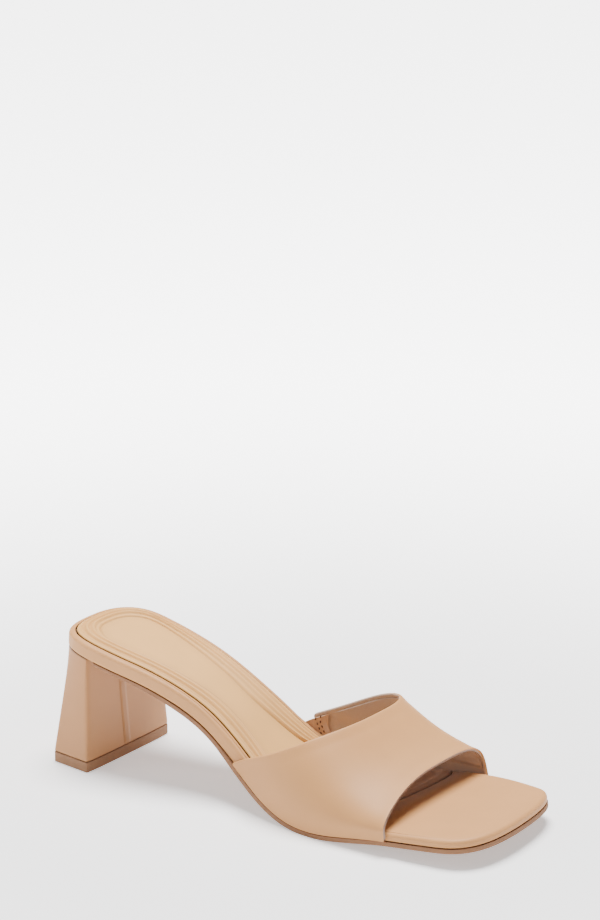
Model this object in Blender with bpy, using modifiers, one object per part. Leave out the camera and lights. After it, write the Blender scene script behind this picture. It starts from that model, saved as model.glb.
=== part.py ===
"""Heeled slide sandal: one right shoe with a wide vamp strap on a thin platform and a flared block heel.

Frame: metres, +X towards the toe, +Y to the inner (medial) side, +Z up. The floor is z = 0, under the
heel lift and under the tread of the forefoot. The box of the whole shoe is centred on x = y = 0.

The platform, the sock and the outsole are flat patterns laid on one bent line, the sole line. A point of
a pattern has a station s along that line, a side place y and a height h square to the line.
"""
import math

import bpy
import numpy as np

# Driving sizes
SOLE_LENGTH = 0.2492
BALL_WIDTH = 0.0852
SEAT_WIDTH = 0.0567
HEEL_HEIGHT = 0.0566
TOE_SPRING = 0.0083
INSTEP_HEIGHT = 0.0416

# Clearance between pieces that touch on the real shoe
GAP = 0.0003

# Extra room between two curved faces whose flat facets do not line up
FIT_SLACK = 0.0001

# Outsole
OUTSOLE_THICKNESS = 0.0022
OUTSOLE_MARGIN = 0.0010
OUTSOLE_EDGE_ROUND = 0.0004
OUTSOLE_BACK_CORNER = 0.004
TREAD_FLAT_DEPTH = 0.00025

# Platform
PLATFORM_HEEL_THICKNESS = 0.0069
PLATFORM_TOE_THICKNESS = 0.0039
PLATFORM_EDGE_ROUND = 0.0013
PLATFORM_LOWER_ROUND = 0.0005
HEEL_ROUND = 0.026
HEEL_ROUND_POWER = 2.7
TOE_ROUND_OUTER = 0.022
TOE_ROUND_INNER = 0.013
TOE_ROUND_POWER = 3.0
TOE_SLANT_DEGREES = 3.43

# Padded sock
SOCK_MARGIN = 0.0035
SOCK_FRONT_MARGIN = 0.0014
SOCK_FLARE_START = 0.130
SOCK_FLARE_LENGTH = 0.045
SOCK_LENGTH = 0.186
SOCK_BED_DEPTH = 0.0012
SOCK_STAND = 0.0007
SOCK_CROWN = 0.0006
SOCK_BORDER = 0.0095
SOCK_CENTRE_DIP = 0.0006
SOCK_FRONT_ROUND_OUTER = 0.0050
SOCK_FRONT_ROUND_INNER = 0.0080
SOCK_FRONT_SLANT_DEGREES = 7.5
SOCK_SLANT_LENGTH = 0.030
SOCK_EDGE_ROUND = 0.0012
SOCK_STEP_WIDTH = 0.003

# Strap, with its places measured forward from the back of the heel
STRAP_WALL = 0.0015
STRAP_FOOT_WALL = 0.0009
STRAP_SKIVE_HEIGHT = 0.006
STRAP_REAR_OUTER_FOOT = 0.1009
STRAP_REAR_INNER_FOOT = 0.0988
STRAP_REAR_CROWN = 0.1548
STRAP_FRONT_OUTER_FOOT = 0.1932
STRAP_FRONT_INNER_FOOT = 0.1922
STRAP_FRONT_CROWN = 0.1868
STRAP_RIDGE_OFFSET = 0.0124
STRAP_BULGE = 0.0012

# Elastic gusset: the strap's leather ends at a stitched seam, and the gusset carries on to the rear foot
GUSSET_SEAM = 0.1090
GUSSET_OVERLAP = 0.0070
GUSSET_THICKNESS = 0.0010
GUSSET_STAND = 0.0012

# Heel block and lift
HEEL_SEAT_DEPTH = 0.0222
HEEL_SEAT_INSET = 0.0003
HEEL_BASE_WIDTH = 0.0638
HEEL_BASE_BACK_WIDTH = 0.0552
HEEL_BASE_DEPTH = 0.0243
HEEL_BASE_SETBACK = 0.0002
HEEL_BASE_OFFSET = -0.0010
HEEL_BACK_EDGE_ROUND = 0.0024
HEEL_BREAST_EDGE_ROUND = 0.0014
HEEL_LIFT_THICKNESS = 0.0050

# Station as a share of SOLE_LENGTH, height as shares of the heel's rise and of TOE_SPRING
SOLE_LINE = (
    # station, heel rise, toe spring
    (0.00, 1.000, 0.000),
    (0.05, 0.981, 0.000),
    (0.10, 0.938, 0.000),
    (0.15, 0.888, 0.000),
    (0.20, 0.832, 0.000),
    (0.25, 0.760, 0.000),
    (0.30, 0.670, 0.000),
    (0.35, 0.562, 0.000),
    (0.40, 0.438, 0.000),
    (0.45, 0.305, 0.000),
    (0.50, 0.180, 0.000),
    (0.55, 0.081, 0.000),
    (0.60, 0.019, 0.000),
    (0.65, 0.000, 0.000),
    (0.70, 0.000, 0.094),
    (0.75, 0.000, 0.297),
    (0.80, 0.000, 0.500),
    (0.85, 0.000, 0.651),
    (0.90, 0.000, 0.757),
    (0.95, 0.000, 0.862),
    (1.00, 0.000, 1.000),
)

# Station as a share of SOLE_LENGTH, then the width that the row follows and both halves as its shares
SOLE_WIDTHS = (
    # station, width, outer half, inner half
    (0.00, SEAT_WIDTH, 0.490, 0.490),
    (0.10, SEAT_WIDTH, 0.504, 0.497),
    (0.15, SEAT_WIDTH, 0.499, 0.486),
    (0.20, SEAT_WIDTH, 0.476, 0.467),
    (0.25, SEAT_WIDTH, 0.450, 0.450),
    (0.30, SEAT_WIDTH, 0.426, 0.434),
    (0.35, SEAT_WIDTH, 0.417, 0.428),
    (0.40, SEAT_WIDTH, 0.436, 0.437),
    (0.45, BALL_WIDTH, 0.311, 0.301),
    (0.50, BALL_WIDTH, 0.344, 0.330),
    (0.55, BALL_WIDTH, 0.384, 0.379),
    (0.60, BALL_WIDTH, 0.421, 0.438),
    (0.65, BALL_WIDTH, 0.447, 0.491),
    (0.70, BALL_WIDTH, 0.457, 0.527),
    (0.75, BALL_WIDTH, 0.455, 0.555),
    (0.80, BALL_WIDTH, 0.454, 0.560),
    (0.85, BALL_WIDTH, 0.451, 0.549),
    (0.90, BALL_WIDTH, 0.439, 0.527),
    (0.95, BALL_WIDTH, 0.422, 0.493),
    (1.00, BALL_WIDTH, 0.404, 0.448),
)

# Place along the shoe as a share of its plan length, crown over the strap's feet as a share of INSTEP_HEIGHT
STRAP_CROWN = (
    # place, crown
    (0.402, 1.379),
    (0.571, 1.364),
    (0.719, 0.670),
    (0.888, 0.304),
)

# How far the topline has run from its feet to its crown: rise as a share, then forward shares of both sides
STRAP_TOPLINE = (
    # rise, outer side, inner side
    (0.00, 0.00, 0.00),
    (0.35, 0.22, 0.17),
    (0.70, 0.66, 0.60),
    (1.00, 1.00, 1.00),
)

# Powers of the strap's cross-section and of its edges
STRAP_SIDE_POWER = 0.67
STRAP_TOP_POWER = 0.89
STRAP_TOPLINE_POWER = 0.6
STRAP_FRONT_OUTER_POWER = 2.9
STRAP_FRONT_INNER_POWER = 0.86

# Stretch of the platform, as shares of the sole's length, over which it thins towards the toe
PLATFORM_TAPER = (0.45, 0.85)

# Squareness of rounded ends: 2 is an ellipse, higher is squarer
SOFT_CORNER = 3.0

# Colours (linear RGB) and roughness of each finish
FINISHES = {
    "nude_leather": ((0.56, 0.36, 0.26), 0.45),
    "sock_leather": ((0.60, 0.41, 0.28), 0.5),
    "brown_rubber": ((0.23, 0.12, 0.06), 0.6),
    "lining": ((0.55, 0.38, 0.27), 0.6),
}


def natural_spline(knots, values):
    """Return a function: the natural cubic spline through the given knots."""
    knots = np.asarray(knots, float)
    values = np.asarray(values, float)
    count = len(knots)
    step = np.diff(knots)
    matrix = np.eye(count)
    side = np.zeros(count)
    for i in range(1, count - 1):
        matrix[i, i - 1 : i + 2] = step[i - 1], 2 * (step[i - 1] + step[i]), step[i]
        side[i] = 6 * ((values[i + 1] - values[i]) / step[i] - (values[i] - values[i - 1]) / step[i - 1])
    bend = np.linalg.solve(matrix, side)

    def curve(x):
        x = np.asarray(x, float)
        i = np.clip(np.searchsorted(knots, x) - 1, 0, count - 2)
        a = knots[i + 1] - x
        b = x - knots[i]
        h = step[i]
        cubic = (bend[i] * a**3 + bend[i + 1] * b**3) / (6 * h)
        return cubic + (values[i] / h - bend[i] * h / 6) * a + (values[i + 1] / h - bend[i + 1] * h / 6) * b

    return curve


def smooth_step(x):
    """Rise from 0 to 1 with level ends."""
    x = np.clip(x, 0, 1)
    return x * x * (3 - 2 * x)


TREAD_HEIGHT = OUTSOLE_THICKNESS + GAP - TREAD_FLAT_DEPTH
LINE_STEPS = 600


def sole_line():
    """Return stations, x, z and slope along the platform's underside, x = 0 at the back of the heel."""
    rows = np.array(SOLE_LINE)
    heel_rise = HEEL_HEIGHT - TREAD_HEIGHT
    heights = TREAD_HEIGHT + heel_rise * rows[:, 1] + TOE_SPRING * rows[:, 2]
    height = natural_spline(rows[:, 0] * SOLE_LENGTH, heights)
    stations = np.linspace(0, SOLE_LENGTH, LINE_STEPS)
    z = height(stations)
    rise = np.gradient(z, stations)
    run = np.sqrt(1 - rise**2)
    step = stations[1] - stations[0]
    x = np.concatenate(([0], np.cumsum((run[1:] + run[:-1]) / 2 * step)))
    return stations, x, z, np.arcsin(rise)


LINE_S, LINE_X, LINE_Z, LINE_SLOPE = sole_line()
PLAN_LENGTH = LINE_X[-1]


def extend(x, known, values):
    """Read a curve, carried on straight past its two ends."""
    inside = np.interp(x, known, values)
    start = (values[1] - values[0]) / (known[1] - known[0])
    end = (values[-1] - values[-2]) / (known[-1] - known[-2])
    return inside + np.minimum(x - known[0], 0) * start + np.maximum(x - known[-1], 0) * end


def on_plate(pattern, h):
    """Bend flat pattern points (s, y) at height h square to the sole line into space."""
    s = pattern[:, 0]
    slope = np.interp(s, LINE_S, LINE_SLOPE)
    x = extend(s, LINE_S, LINE_X) - h * np.sin(slope)
    z = extend(s, LINE_S, LINE_Z) + h * np.cos(slope)
    return np.column_stack((x, pattern[:, 1], z))


def half_widths():
    """Return two functions of the station: the outer and the inner half width of the platform."""
    stations = [row[0] * SOLE_LENGTH for row in SOLE_WIDTHS]
    outer = natural_spline(stations, [row[1] * row[2] for row in SOLE_WIDTHS])
    inner = natural_spline(stations, [row[1] * row[3] for row in SOLE_WIDTHS])
    return outer, inner


OUTER_HALF, INNER_HALF = half_widths()


def platform_thickness(s):
    """Thicker behind the ball, thinner at the toe, with the change hidden under the strap."""
    start, end = PLATFORM_TAPER
    change = smooth_step((s / SOLE_LENGTH - start) / (end - start))
    return PLATFORM_HEEL_THICKNESS + (PLATFORM_TOE_THICKNESS - PLATFORM_HEEL_THICKNESS) * change


def closure(distance, length, power):
    """Share of the full width at a distance inside a rounded end: a superellipse quarter."""
    left = 1 - np.clip(distance / length, 0, 1)
    return (1 - left**power) ** (1 / power)


def end_rows(length, power, count):
    """Distances from a rounded end, close together where it turns fastest."""
    angle = np.linspace(0, math.pi / 2, count + 1)
    return length * (1 - np.cos(angle) ** (2 / power))


def half_outline(half, back, front, back_end, front_end, side_rows, turn_rows):
    """Stations and widths of one side of a pattern, each end a (length, power) pair."""
    front_s = front - end_rows(*front_end, turn_rows)[::-1]
    back_s = back + end_rows(*back_end, turn_rows)
    back_s = back_s[back_s < front_s[0] - back_end[0] / turn_rows**2]
    middle = np.linspace(back_s[-1], front_s[0], side_rows + 2)[1:-1]
    s = np.concatenate((back_s, middle, front_s))
    return s, half(s) * closure(s - back, *back_end) * closure(front - s, *front_end)


def pattern_outline(back, front, back_end, front_ends, slant, side_rows, turn_rows):
    """Closed outline of a flat pattern, from the middle of its back round the outer side.

    Point i of the outer side has the same row as point -i of the inner side.
    """
    sides = []
    for half, front_end, sign in ((OUTER_HALF, front_ends[0], -1), (INNER_HALF, front_ends[1], 1)):
        s, width = half_outline(half, back, front, back_end, front_end, side_rows, turn_rows)
        y = sign * width
        near_toe = smooth_step((s - (front - 3 * front_end[0])) / (3 * front_end[0]))
        sides.append(np.column_stack((s - slant * np.maximum(y, 0) * near_toe, y)))
    return np.concatenate((sides[0], sides[1][-2:0:-1]))


def shifted(outline, distance):
    """Move each point of a closed outline inwards, square to the outline."""
    tangent = np.roll(outline, -1, 0) - np.roll(outline, 1, 0)
    tangent /= np.linalg.norm(tangent, axis=1)[:, None]
    inward = np.column_stack((-tangent[:, 1], tangent[:, 0]))
    return outline + inward * distance


def ladder(ring, columns):
    """Fill a closed ring with rungs between its paired points: return the new points and the faces.

    Faces use ring indices first, then the rungs' own points. They face up for a ring that runs from
    the back round the outer side.
    """
    half = len(ring) // 2
    points = []
    rows = [[0] * (columns + 1)]
    for i in range(1, half):
        outer, inner = ring[i], ring[-i]
        row = [i]
        for c in range(1, columns):
            row.append(len(ring) + len(points))
            points.append(outer + (inner - outer) * c / columns)
        row.append(len(ring) - i)
        rows.append(row)
    rows.append([half] * (columns + 1))
    faces = []
    for a, b in zip(rows[:-1], rows[1:]):
        for c in range(columns):
            corners = []
            for index in (a[c], b[c], b[c + 1], a[c + 1]):
                if index not in corners:
                    corners.append(index)
            faces.append(corners)
    return np.array(points), faces


def mesh_object(name, points, faces, finish, group):
    """Make one object from points and faces, with its own material, shaded smooth by angle."""
    data = bpy.data.meshes.new(name)
    data.from_pydata([tuple(p) for p in points], [], faces)
    data.update()
    made = bpy.data.objects.new(name, data)
    group.objects.link(made)
    colour, roughness = FINISHES[finish]
    material = bpy.data.materials.new(name + "_" + finish)
    material.use_nodes = True
    shader = material.node_tree.nodes["Principled BSDF"]
    shader.inputs["Base Color"].default_value = (*colour, 1)
    shader.inputs["Roughness"].default_value = roughness
    shader.inputs["Metallic"].default_value = 0
    data.materials.append(material)
    data.shade_smooth()
    data.set_sharp_from_angle(angle=math.radians(40))
    return made


def loft(name, rings, cap_columns, finish, group, shape_top=None):
    """Close a stack of rings, lowest first, with a ladder over each end.

    Each ring is a pair: its flat outline and a function that puts flat points in space. shape_top
    gives the extra height of the upper ladder's points.
    """
    size = len(rings[0][0])
    points = [place(flat) for flat, place in rings]
    faces = []
    for k in range(len(rings) - 1):
        for i in range(size):
            j = (i + 1) % size
            faces.append([k * size + i, k * size + j, (k + 1) * size + j, (k + 1) * size + i])
    used = len(rings) * size
    for k, (flat, place) in ((0, rings[0]), (len(rings) - 1, rings[-1])):
        extra, cap = ladder(flat, cap_columns)
        placed = place(extra)
        if k and shape_top:
            placed = shape_top(extra)
        points.append(placed)
        for face in cap:
            real = [k * size + i if i < size else used + i - size for i in face]
            faces.append(real if k else real[::-1])
        used += len(extra)
    return mesh_object(name, np.concatenate(points), faces, finish, group)


def plate_level(height):
    """Return the function that bends flat points at a height that may depend on the station."""

    def place(flat):
        h = height(flat[:, 0]) if callable(height) else np.full(len(flat), height)
        return on_plate(flat, h)

    return place


HEEL_END = (HEEL_ROUND, HEEL_ROUND_POWER)
TOE_ENDS = ((TOE_ROUND_OUTER, TOE_ROUND_POWER), (TOE_ROUND_INNER, TOE_ROUND_POWER))
TOE_SLANT = math.tan(math.radians(TOE_SLANT_DEGREES))
PLATFORM_ROWS = (36, 9)
SOCK_ROWS = (28, 8)
OUTSOLE_ROWS = (34, 8)


def make_platform(group):
    """The wrapped board and platform: flat pattern with a rounded upper edge."""
    outline = pattern_outline(0, SOLE_LENGTH, HEEL_END, TOE_ENDS, TOE_SLANT, *PLATFORM_ROWS)
    levels = [(PLATFORM_LOWER_ROUND, 0.0), (0.0, PLATFORM_LOWER_ROUND)]
    rings = [(shifted(outline, d), plate_level(h)) for d, h in levels]
    for turn in (0, 30, 60, 90):
        inset = PLATFORM_EDGE_ROUND * (1 - math.cos(math.radians(turn)))
        drop = PLATFORM_EDGE_ROUND * (1 - math.sin(math.radians(turn)))
        rings.append((shifted(outline, inset), plate_level(lambda s, d=drop: platform_thickness(s) - d)))
    return loft("platform", rings, 6, "nude_leather", group)


def sock_outline():
    """The sock's outline: a margin inside the platform's, less under the strap, and cut slanting in front."""
    front = SOCK_LENGTH + SOCK_FRONT_MARGIN
    rounds = SOCK_FRONT_ROUND_OUTER, SOCK_FRONT_ROUND_INNER
    front_ends = [(length + SOCK_FRONT_MARGIN, SOFT_CORNER) for length in rounds]
    flat = pattern_outline(0, front, HEEL_END, front_ends, 0, *SOCK_ROWS)
    flare = smooth_step((flat[:, :1] - SOCK_FLARE_START) / SOCK_FLARE_LENGTH)
    flat = shifted(flat, SOCK_MARGIN + (SOCK_FRONT_MARGIN - SOCK_MARGIN) * flare)
    near_front = smooth_step((flat[:, 0] - SOCK_LENGTH) / SOCK_SLANT_LENGTH + 1)
    flat[:, 0] += math.tan(math.radians(SOCK_FRONT_SLANT_DEGREES)) * flat[:, 1] * near_front
    return flat


def sock_top(flat, outline):
    """Place points on the sock's top: a moulded border that dips by a soft step to the centre."""
    gap = flat[:, None] - outline[None]
    inset = np.sqrt((gap**2).sum(2)).min(1)
    dip = SOCK_CENTRE_DIP * smooth_step((inset - SOCK_BORDER) / SOCK_STEP_WIDTH + 0.5)
    rise = platform_thickness(flat[:, 0]) + SOCK_STAND + SOCK_CROWN * smooth_step(inset / (SOCK_BORDER / 2))
    return on_plate(flat, rise - dip)


def make_sock(group):
    """The padded sock, which lies in the platform's bed and stands a little proud of its rim."""
    outline = sock_outline()

    def under(s):
        return platform_thickness(s) - SOCK_BED_DEPTH + GAP

    rings = [
        (outline, plate_level(under)),
        (outline, plate_level(platform_thickness)),
        (shifted(outline, SOCK_EDGE_ROUND), lambda flat: sock_top(flat, outline)),
    ]
    return loft("sock_pad", rings, 8, "sock_leather", group, lambda flat: sock_top(flat, outline))


def cut_sock_bed(platform, cutters):
    """Sink a bed for the sock into the platform's top, a clearance wider than the sock."""
    outline = shifted(sock_outline(), -GAP)
    rings = [
        (outline, plate_level(lambda s: platform_thickness(s) - SOCK_BED_DEPTH)),
        (outline, plate_level(lambda s: platform_thickness(s) + SOCK_BED_DEPTH)),
    ]
    cutter = loft("sock_bed_cutter", rings, 8, "sock_leather", cutters)
    cutter.hide_render = True
    cutter.display_type = "WIRE"
    cut = platform.modifiers.new("sock_bed", "BOOLEAN")
    cut.operation = "DIFFERENCE"
    cut.solver = "EXACT"
    cut.object = cutter
    return cutter


def make_outsole(group):
    """The outsole, from the heel breast to the toe, worn flat where it treads on the floor."""
    back = HEEL_SEAT_DEPTH + OUTSOLE_THICKNESS
    back_end = (OUTSOLE_BACK_CORNER, SOFT_CORNER)
    outline = pattern_outline(back, SOLE_LENGTH, back_end, TOE_ENDS, TOE_SLANT, *OUTSOLE_ROWS)
    outline = shifted(outline, -OUTSOLE_MARGIN)
    outline[:, 0] = np.maximum(outline[:, 0], back)

    def level(h):
        def place(flat):
            placed = on_plate(flat, np.full(len(flat), h))
            placed[:, 2] = np.maximum(placed[:, 2], 0)
            return placed

        return place

    rings = [
        (shifted(outline, OUTSOLE_EDGE_ROUND), level(-GAP - OUTSOLE_THICKNESS)),
        (outline, level(-GAP - OUTSOLE_THICKNESS + OUTSOLE_EDGE_ROUND)),
        (outline, level(-GAP)),
    ]
    return loft("outsole", rings, 6, "brown_rubber", group)


STRAP_COLUMNS = 52
STRAP_ROWS = 20


def foot_place(half, s):
    """Side place of a strap foot, so that its inner face is a clearance off the platform's side."""
    step = 0.001
    flare = (half(s + step) - half(s - step)) / (2 * step)
    return half(s) + (GAP + FIT_SLACK + STRAP_FOOT_WALL) * np.sqrt(1 + flare**2)


def strap_point(x, turn):
    """The strap's outer face at a place x along the shoe, with turn 0 at the outer foot and 1 at the inner.

    Each section stands upright across the shoe. It rises straight beside the platform, then leans in
    over it to a crown that lies towards the inner side.
    """
    rows = np.array(STRAP_CROWN)
    crown = natural_spline(rows[:, 0] * PLAN_LENGTH, rows[:, 1] * INSTEP_HEIGHT)(x)
    s = extend(x, LINE_X, LINE_S)
    base = extend(x, LINE_X, LINE_Z)
    outer = -foot_place(OUTER_HALF, s)
    inner = foot_place(INNER_HALF, s)
    lift = np.clip(np.sin(math.pi * turn), 0, 1)
    upright = ((platform_thickness(s) + GAP) / crown) ** (1 / STRAP_TOP_POWER)
    lean = np.clip((lift - upright) / (1 - upright), 0, 1)
    side = np.sign(turn - 0.5) * np.sqrt(1 - lean**2)
    reach = np.sign(side) * np.abs(side) ** STRAP_SIDE_POWER
    bulge = STRAP_BULGE * np.sin(2 * math.pi * turn)
    y = (outer + inner) / 2 + (inner - outer) / 2 * reach + STRAP_RIDGE_OFFSET * lean**2 - bulge
    z = base + crown * lift**STRAP_TOP_POWER
    return np.stack((x, y, z), -1)


def strap_topline(turn):
    """Where the line of the topline lies along the shoe, from each foot up and forward to the crown."""
    rows = np.array(STRAP_TOPLINE)
    rise = np.clip(np.sin(math.pi * turn), 0, 1) ** STRAP_TOPLINE_POWER
    outer = natural_spline(rows[:, 0], rows[:, 1])(rise)
    inner = natural_spline(rows[:, 0], rows[:, 2])(rise)
    from_outer = STRAP_REAR_OUTER_FOOT + (STRAP_REAR_CROWN - STRAP_REAR_OUTER_FOOT) * outer
    from_inner = STRAP_REAR_INNER_FOOT + (STRAP_REAR_CROWN - STRAP_REAR_INNER_FOOT) * inner
    return np.where(turn < 0.5, from_outer, from_inner)


def strap_rear(turn):
    """The leather's rear edge: the topline, cut off at the gusset's seam on the inner side."""
    line = strap_topline(turn)
    return np.where(turn < 0.5, line, np.maximum(line, GUSSET_SEAM))


def strap_front(turn):
    """The edge over the toes, which falls back a little towards the crown."""
    lift = np.clip(np.sin(math.pi * turn), 0, 1)
    from_outer = (STRAP_FRONT_CROWN - STRAP_FRONT_OUTER_FOOT) * lift**STRAP_FRONT_OUTER_POWER
    from_inner = (STRAP_FRONT_CROWN - STRAP_FRONT_INNER_FOOT) * lift**STRAP_FRONT_INNER_POWER
    return np.where(turn < 0.5, STRAP_FRONT_OUTER_FOOT + from_outer, STRAP_FRONT_INNER_FOOT + from_inner)


def sheet_faces(rows, columns):
    """Faces of a grid whose rows run from the rear to the front and columns from outer to inner foot."""
    faces = []
    for r in range(rows):
        for c in range(columns):
            a = r * (columns + 1) + c
            faces.append([a, a + columns + 1, a + columns + 2, a + 1])
    return faces


def add_wall(sheet, thickness):
    """Thicken an open sheet inwards."""
    wall = sheet.modifiers.new("wall", "SOLIDIFY")
    wall.thickness = thickness
    wall.offset = -1
    wall.use_even_offset = True
    return wall


def make_strap(group):
    """The upper: one hollow vault, open at the toe, at the topline and underneath, skived at its feet."""
    share = np.linspace(0, 1, STRAP_COLUMNS + 1)
    turn = (1 - np.cos(math.pi * share)) / 2
    along = np.linspace(0, 1, STRAP_ROWS + 1)[:, None]
    x = strap_rear(turn) * (1 - along) + strap_front(turn) * along
    points = strap_point(x, turn + 0 * x)
    over_platform = points[..., 2] - extend(x, LINE_X, LINE_Z) - PLATFORM_HEEL_THICKNESS
    full = smooth_step(over_platform / STRAP_SKIVE_HEIGHT)
    faces = sheet_faces(STRAP_ROWS, STRAP_COLUMNS)
    strap = mesh_object("strap", points.reshape(-1, 3), faces, "nude_leather", group)
    skive = strap.vertex_groups.new(name="full_wall")
    for index, weight in enumerate(full.ravel()):
        skive.add([index], float(weight), "REPLACE")
    wall = add_wall(strap, STRAP_WALL)
    wall.vertex_group = skive.name
    wall.thickness_vertex_group = STRAP_FOOT_WALL / STRAP_WALL
    return strap


GUSSET_COLUMNS = 10
GUSSET_ROWS = 6


def make_gusset(group):
    """The elastic tab inside the strap's inner rear end, from the platform's rim up to the topline."""
    base = extend(GUSSET_SEAM, LINE_X, LINE_Z)
    rim = platform_thickness(GUSSET_SEAM) + GUSSET_STAND
    shares = np.array(STRAP_CROWN)
    crown = natural_spline(shares[:, 0] * PLAN_LENGTH, shares[:, 1] * INSTEP_HEIGHT)(GUSSET_SEAM)
    low = 1 - math.asin((rim / crown) ** (1 / STRAP_TOP_POWER)) / math.pi
    turns = np.linspace(0.5, 1, LINE_STEPS)
    high = np.interp(-GUSSET_SEAM, -strap_topline(turns), turns)
    turn = np.linspace(low, high, GUSSET_COLUMNS + 1)[None]
    along = np.linspace(0, 1, GUSSET_ROWS + 1)[:, None]
    rear = strap_topline(turn)
    x = rear * (1 - along) + (GUSSET_SEAM + GUSSET_OVERLAP) * along
    outside = strap_point(x, turn + 0 * x)
    step = 1e-5
    ahead = strap_point(x + step, turn + 0 * x) - outside
    across = strap_point(x, turn - step + 0 * x) - outside
    normal = np.cross(across, ahead)
    normal /= np.linalg.norm(normal, axis=-1)[..., None]
    points = (outside - normal * (STRAP_WALL + GAP)).reshape(-1, 3)
    faces = [face[::-1] for face in sheet_faces(GUSSET_ROWS, GUSSET_COLUMNS)]
    gusset = mesh_object("gusset", points, faces, "lining", group)
    add_wall(gusset, GUSSET_THICKNESS)
    return gusset


HEEL_LEVELS = 6
HEEL_ROWS = (3, 7)


def in_space(points):
    return points


def base_outline():
    """The heel's foot on the floor: wider at the breast than at the back, with rounded corners."""
    front = HEEL_BASE_SETBACK + HEEL_BASE_DEPTH
    back_end = (HEEL_BACK_EDGE_ROUND, SOFT_CORNER)
    front_end = (HEEL_BREAST_EDGE_ROUND, SOFT_CORNER)

    def half(x):
        share = (x - HEEL_BASE_SETBACK) / HEEL_BASE_DEPTH
        return (HEEL_BASE_BACK_WIDTH + (HEEL_BASE_WIDTH - HEEL_BASE_BACK_WIDTH) * share) / 2

    x, y = half_outline(half, HEEL_BASE_SETBACK, front, back_end, front_end, *HEEL_ROWS)
    ring = np.concatenate((np.column_stack((x, -y)), np.column_stack((x, y))[-2:0:-1]))
    return ring + (0, HEEL_BASE_OFFSET)


def at_height(outline, z):
    return np.column_stack((outline, np.full(len(outline), z)))


def seat_outline(count):
    """The heel's seat: the platform's outline back of the breast, with as many points as asked for."""
    corner = (HEEL_BREAST_EDGE_ROUND, SOFT_CORNER)
    fine = pattern_outline(0, HEEL_SEAT_DEPTH, HEEL_END, (corner, corner), 0, *HEEL_ROWS)
    fine = shifted(fine, HEEL_SEAT_INSET)
    place = np.linspace(0, len(fine), count, endpoint=False)
    closed = np.concatenate((fine, fine[:1]))
    return np.column_stack([np.interp(place, np.arange(len(closed)), closed[:, k]) for k in (0, 1)])


def make_heel(group):
    """The flared block: its seat follows the sole line, its base is a trapezoid with round corners."""
    base = at_height(base_outline(), HEEL_LIFT_THICKNESS + GAP)
    seat = seat_outline(len(base))
    top = on_plate(seat, np.full(len(seat), -GAP))
    rings = [(base + (top - base) * k / HEEL_LEVELS, in_space) for k in range(HEEL_LEVELS + 1)]
    return loft("heel", rings, 6, "nude_leather", group)


def make_heel_lift(group):
    """The rubber top piece, a flat plate of the heel's foot."""
    rings = [(at_height(base_outline(), z), in_space) for z in (0.0, HEEL_LIFT_THICKNESS)]
    return loft("heel_lift", rings, 4, "brown_rubber", group)


def clear_scene():
    for old in list(bpy.data.objects):
        bpy.data.objects.remove(old, do_unlink=True)


def new_group(name):
    group = bpy.data.collections.new(name)
    bpy.context.scene.collection.children.link(group)
    return group


def centre_on_box(pieces):
    """Hang every piece on one empty that sits where the box of the whole shoe is centred."""
    corners = [np.array([v.co for v in piece.data.vertices]) for piece in pieces]
    every = np.concatenate(corners)
    middle = (every.min(0) + every.max(0)) / 2
    hub = bpy.data.objects.new("sandal_origin", None)
    bpy.context.scene.collection.objects.link(hub)
    hub.location = (-middle[0], -middle[1], 0)
    return hub


def main():
    clear_scene()
    group = new_group("heeled_slide_sandal")
    cutters = new_group("cutters")
    platform = make_platform(group)
    pieces = [platform, make_outsole(group), make_sock(group), make_strap(group)]
    pieces += [make_gusset(group), make_heel(group), make_heel_lift(group)]
    bed = cut_sock_bed(platform, cutters)
    hub = centre_on_box(pieces)
    for piece in pieces + [bed]:
        piece.parent = hub


main()
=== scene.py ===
"""The look of the heeled slide sandal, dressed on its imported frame.

Metres, +X towards the toe, +Y to the inner side, +Z up, floor at z = 0. The one body is "root". Every piece
below stands for the CAD node of the same place and follows the same sole line and the same strap vault.
"""

import math

import bmesh
import bpy
import numpy as np
from mathutils import Matrix, Vector


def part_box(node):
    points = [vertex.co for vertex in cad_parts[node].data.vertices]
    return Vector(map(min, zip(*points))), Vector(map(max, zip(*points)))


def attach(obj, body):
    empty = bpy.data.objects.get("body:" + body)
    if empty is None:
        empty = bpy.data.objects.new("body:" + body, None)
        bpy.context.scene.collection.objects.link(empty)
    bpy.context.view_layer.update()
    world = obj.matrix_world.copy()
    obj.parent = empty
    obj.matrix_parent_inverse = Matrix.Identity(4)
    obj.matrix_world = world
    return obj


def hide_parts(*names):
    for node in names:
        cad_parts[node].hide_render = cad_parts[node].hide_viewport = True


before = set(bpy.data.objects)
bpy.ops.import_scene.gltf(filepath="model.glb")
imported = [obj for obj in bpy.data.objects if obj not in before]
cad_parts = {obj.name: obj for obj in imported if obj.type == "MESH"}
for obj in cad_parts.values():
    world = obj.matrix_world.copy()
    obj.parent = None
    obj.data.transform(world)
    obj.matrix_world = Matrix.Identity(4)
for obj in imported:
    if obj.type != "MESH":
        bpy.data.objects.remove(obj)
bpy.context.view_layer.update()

# Floor, light and camera
# A white photographic sweep under a large overhead softbox, with a weaker one from the left of the
# camera. The camera stands about 1.8 m off with a long lens, as for a catalogue picture.
FLOOR_SIZE = 20.0
FLOOR_COLOUR = (0.93, 0.93, 0.94)
FLOOR_ROUGHNESS = 0.9
WORLD_COLOUR = (1.0, 1.0, 1.0)
WORLD_STRENGTH = 0.22
# how strongly the floor glows at the shoe and far from it, and from where to where it changes
FLOOR_GLOW = (0.60, 5.0)
FLOOR_GLOW_RUN = (0.12, 0.75)
CAMERA_TARGET = (-0.00395, -0.00458, 0.030)
CAMERA_AZIMUTH = 34.71
CAMERA_ELEVATION = 20.60
CAMERA_DISTANCE = 1.802
CAMERA_LENS = 155.2
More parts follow.
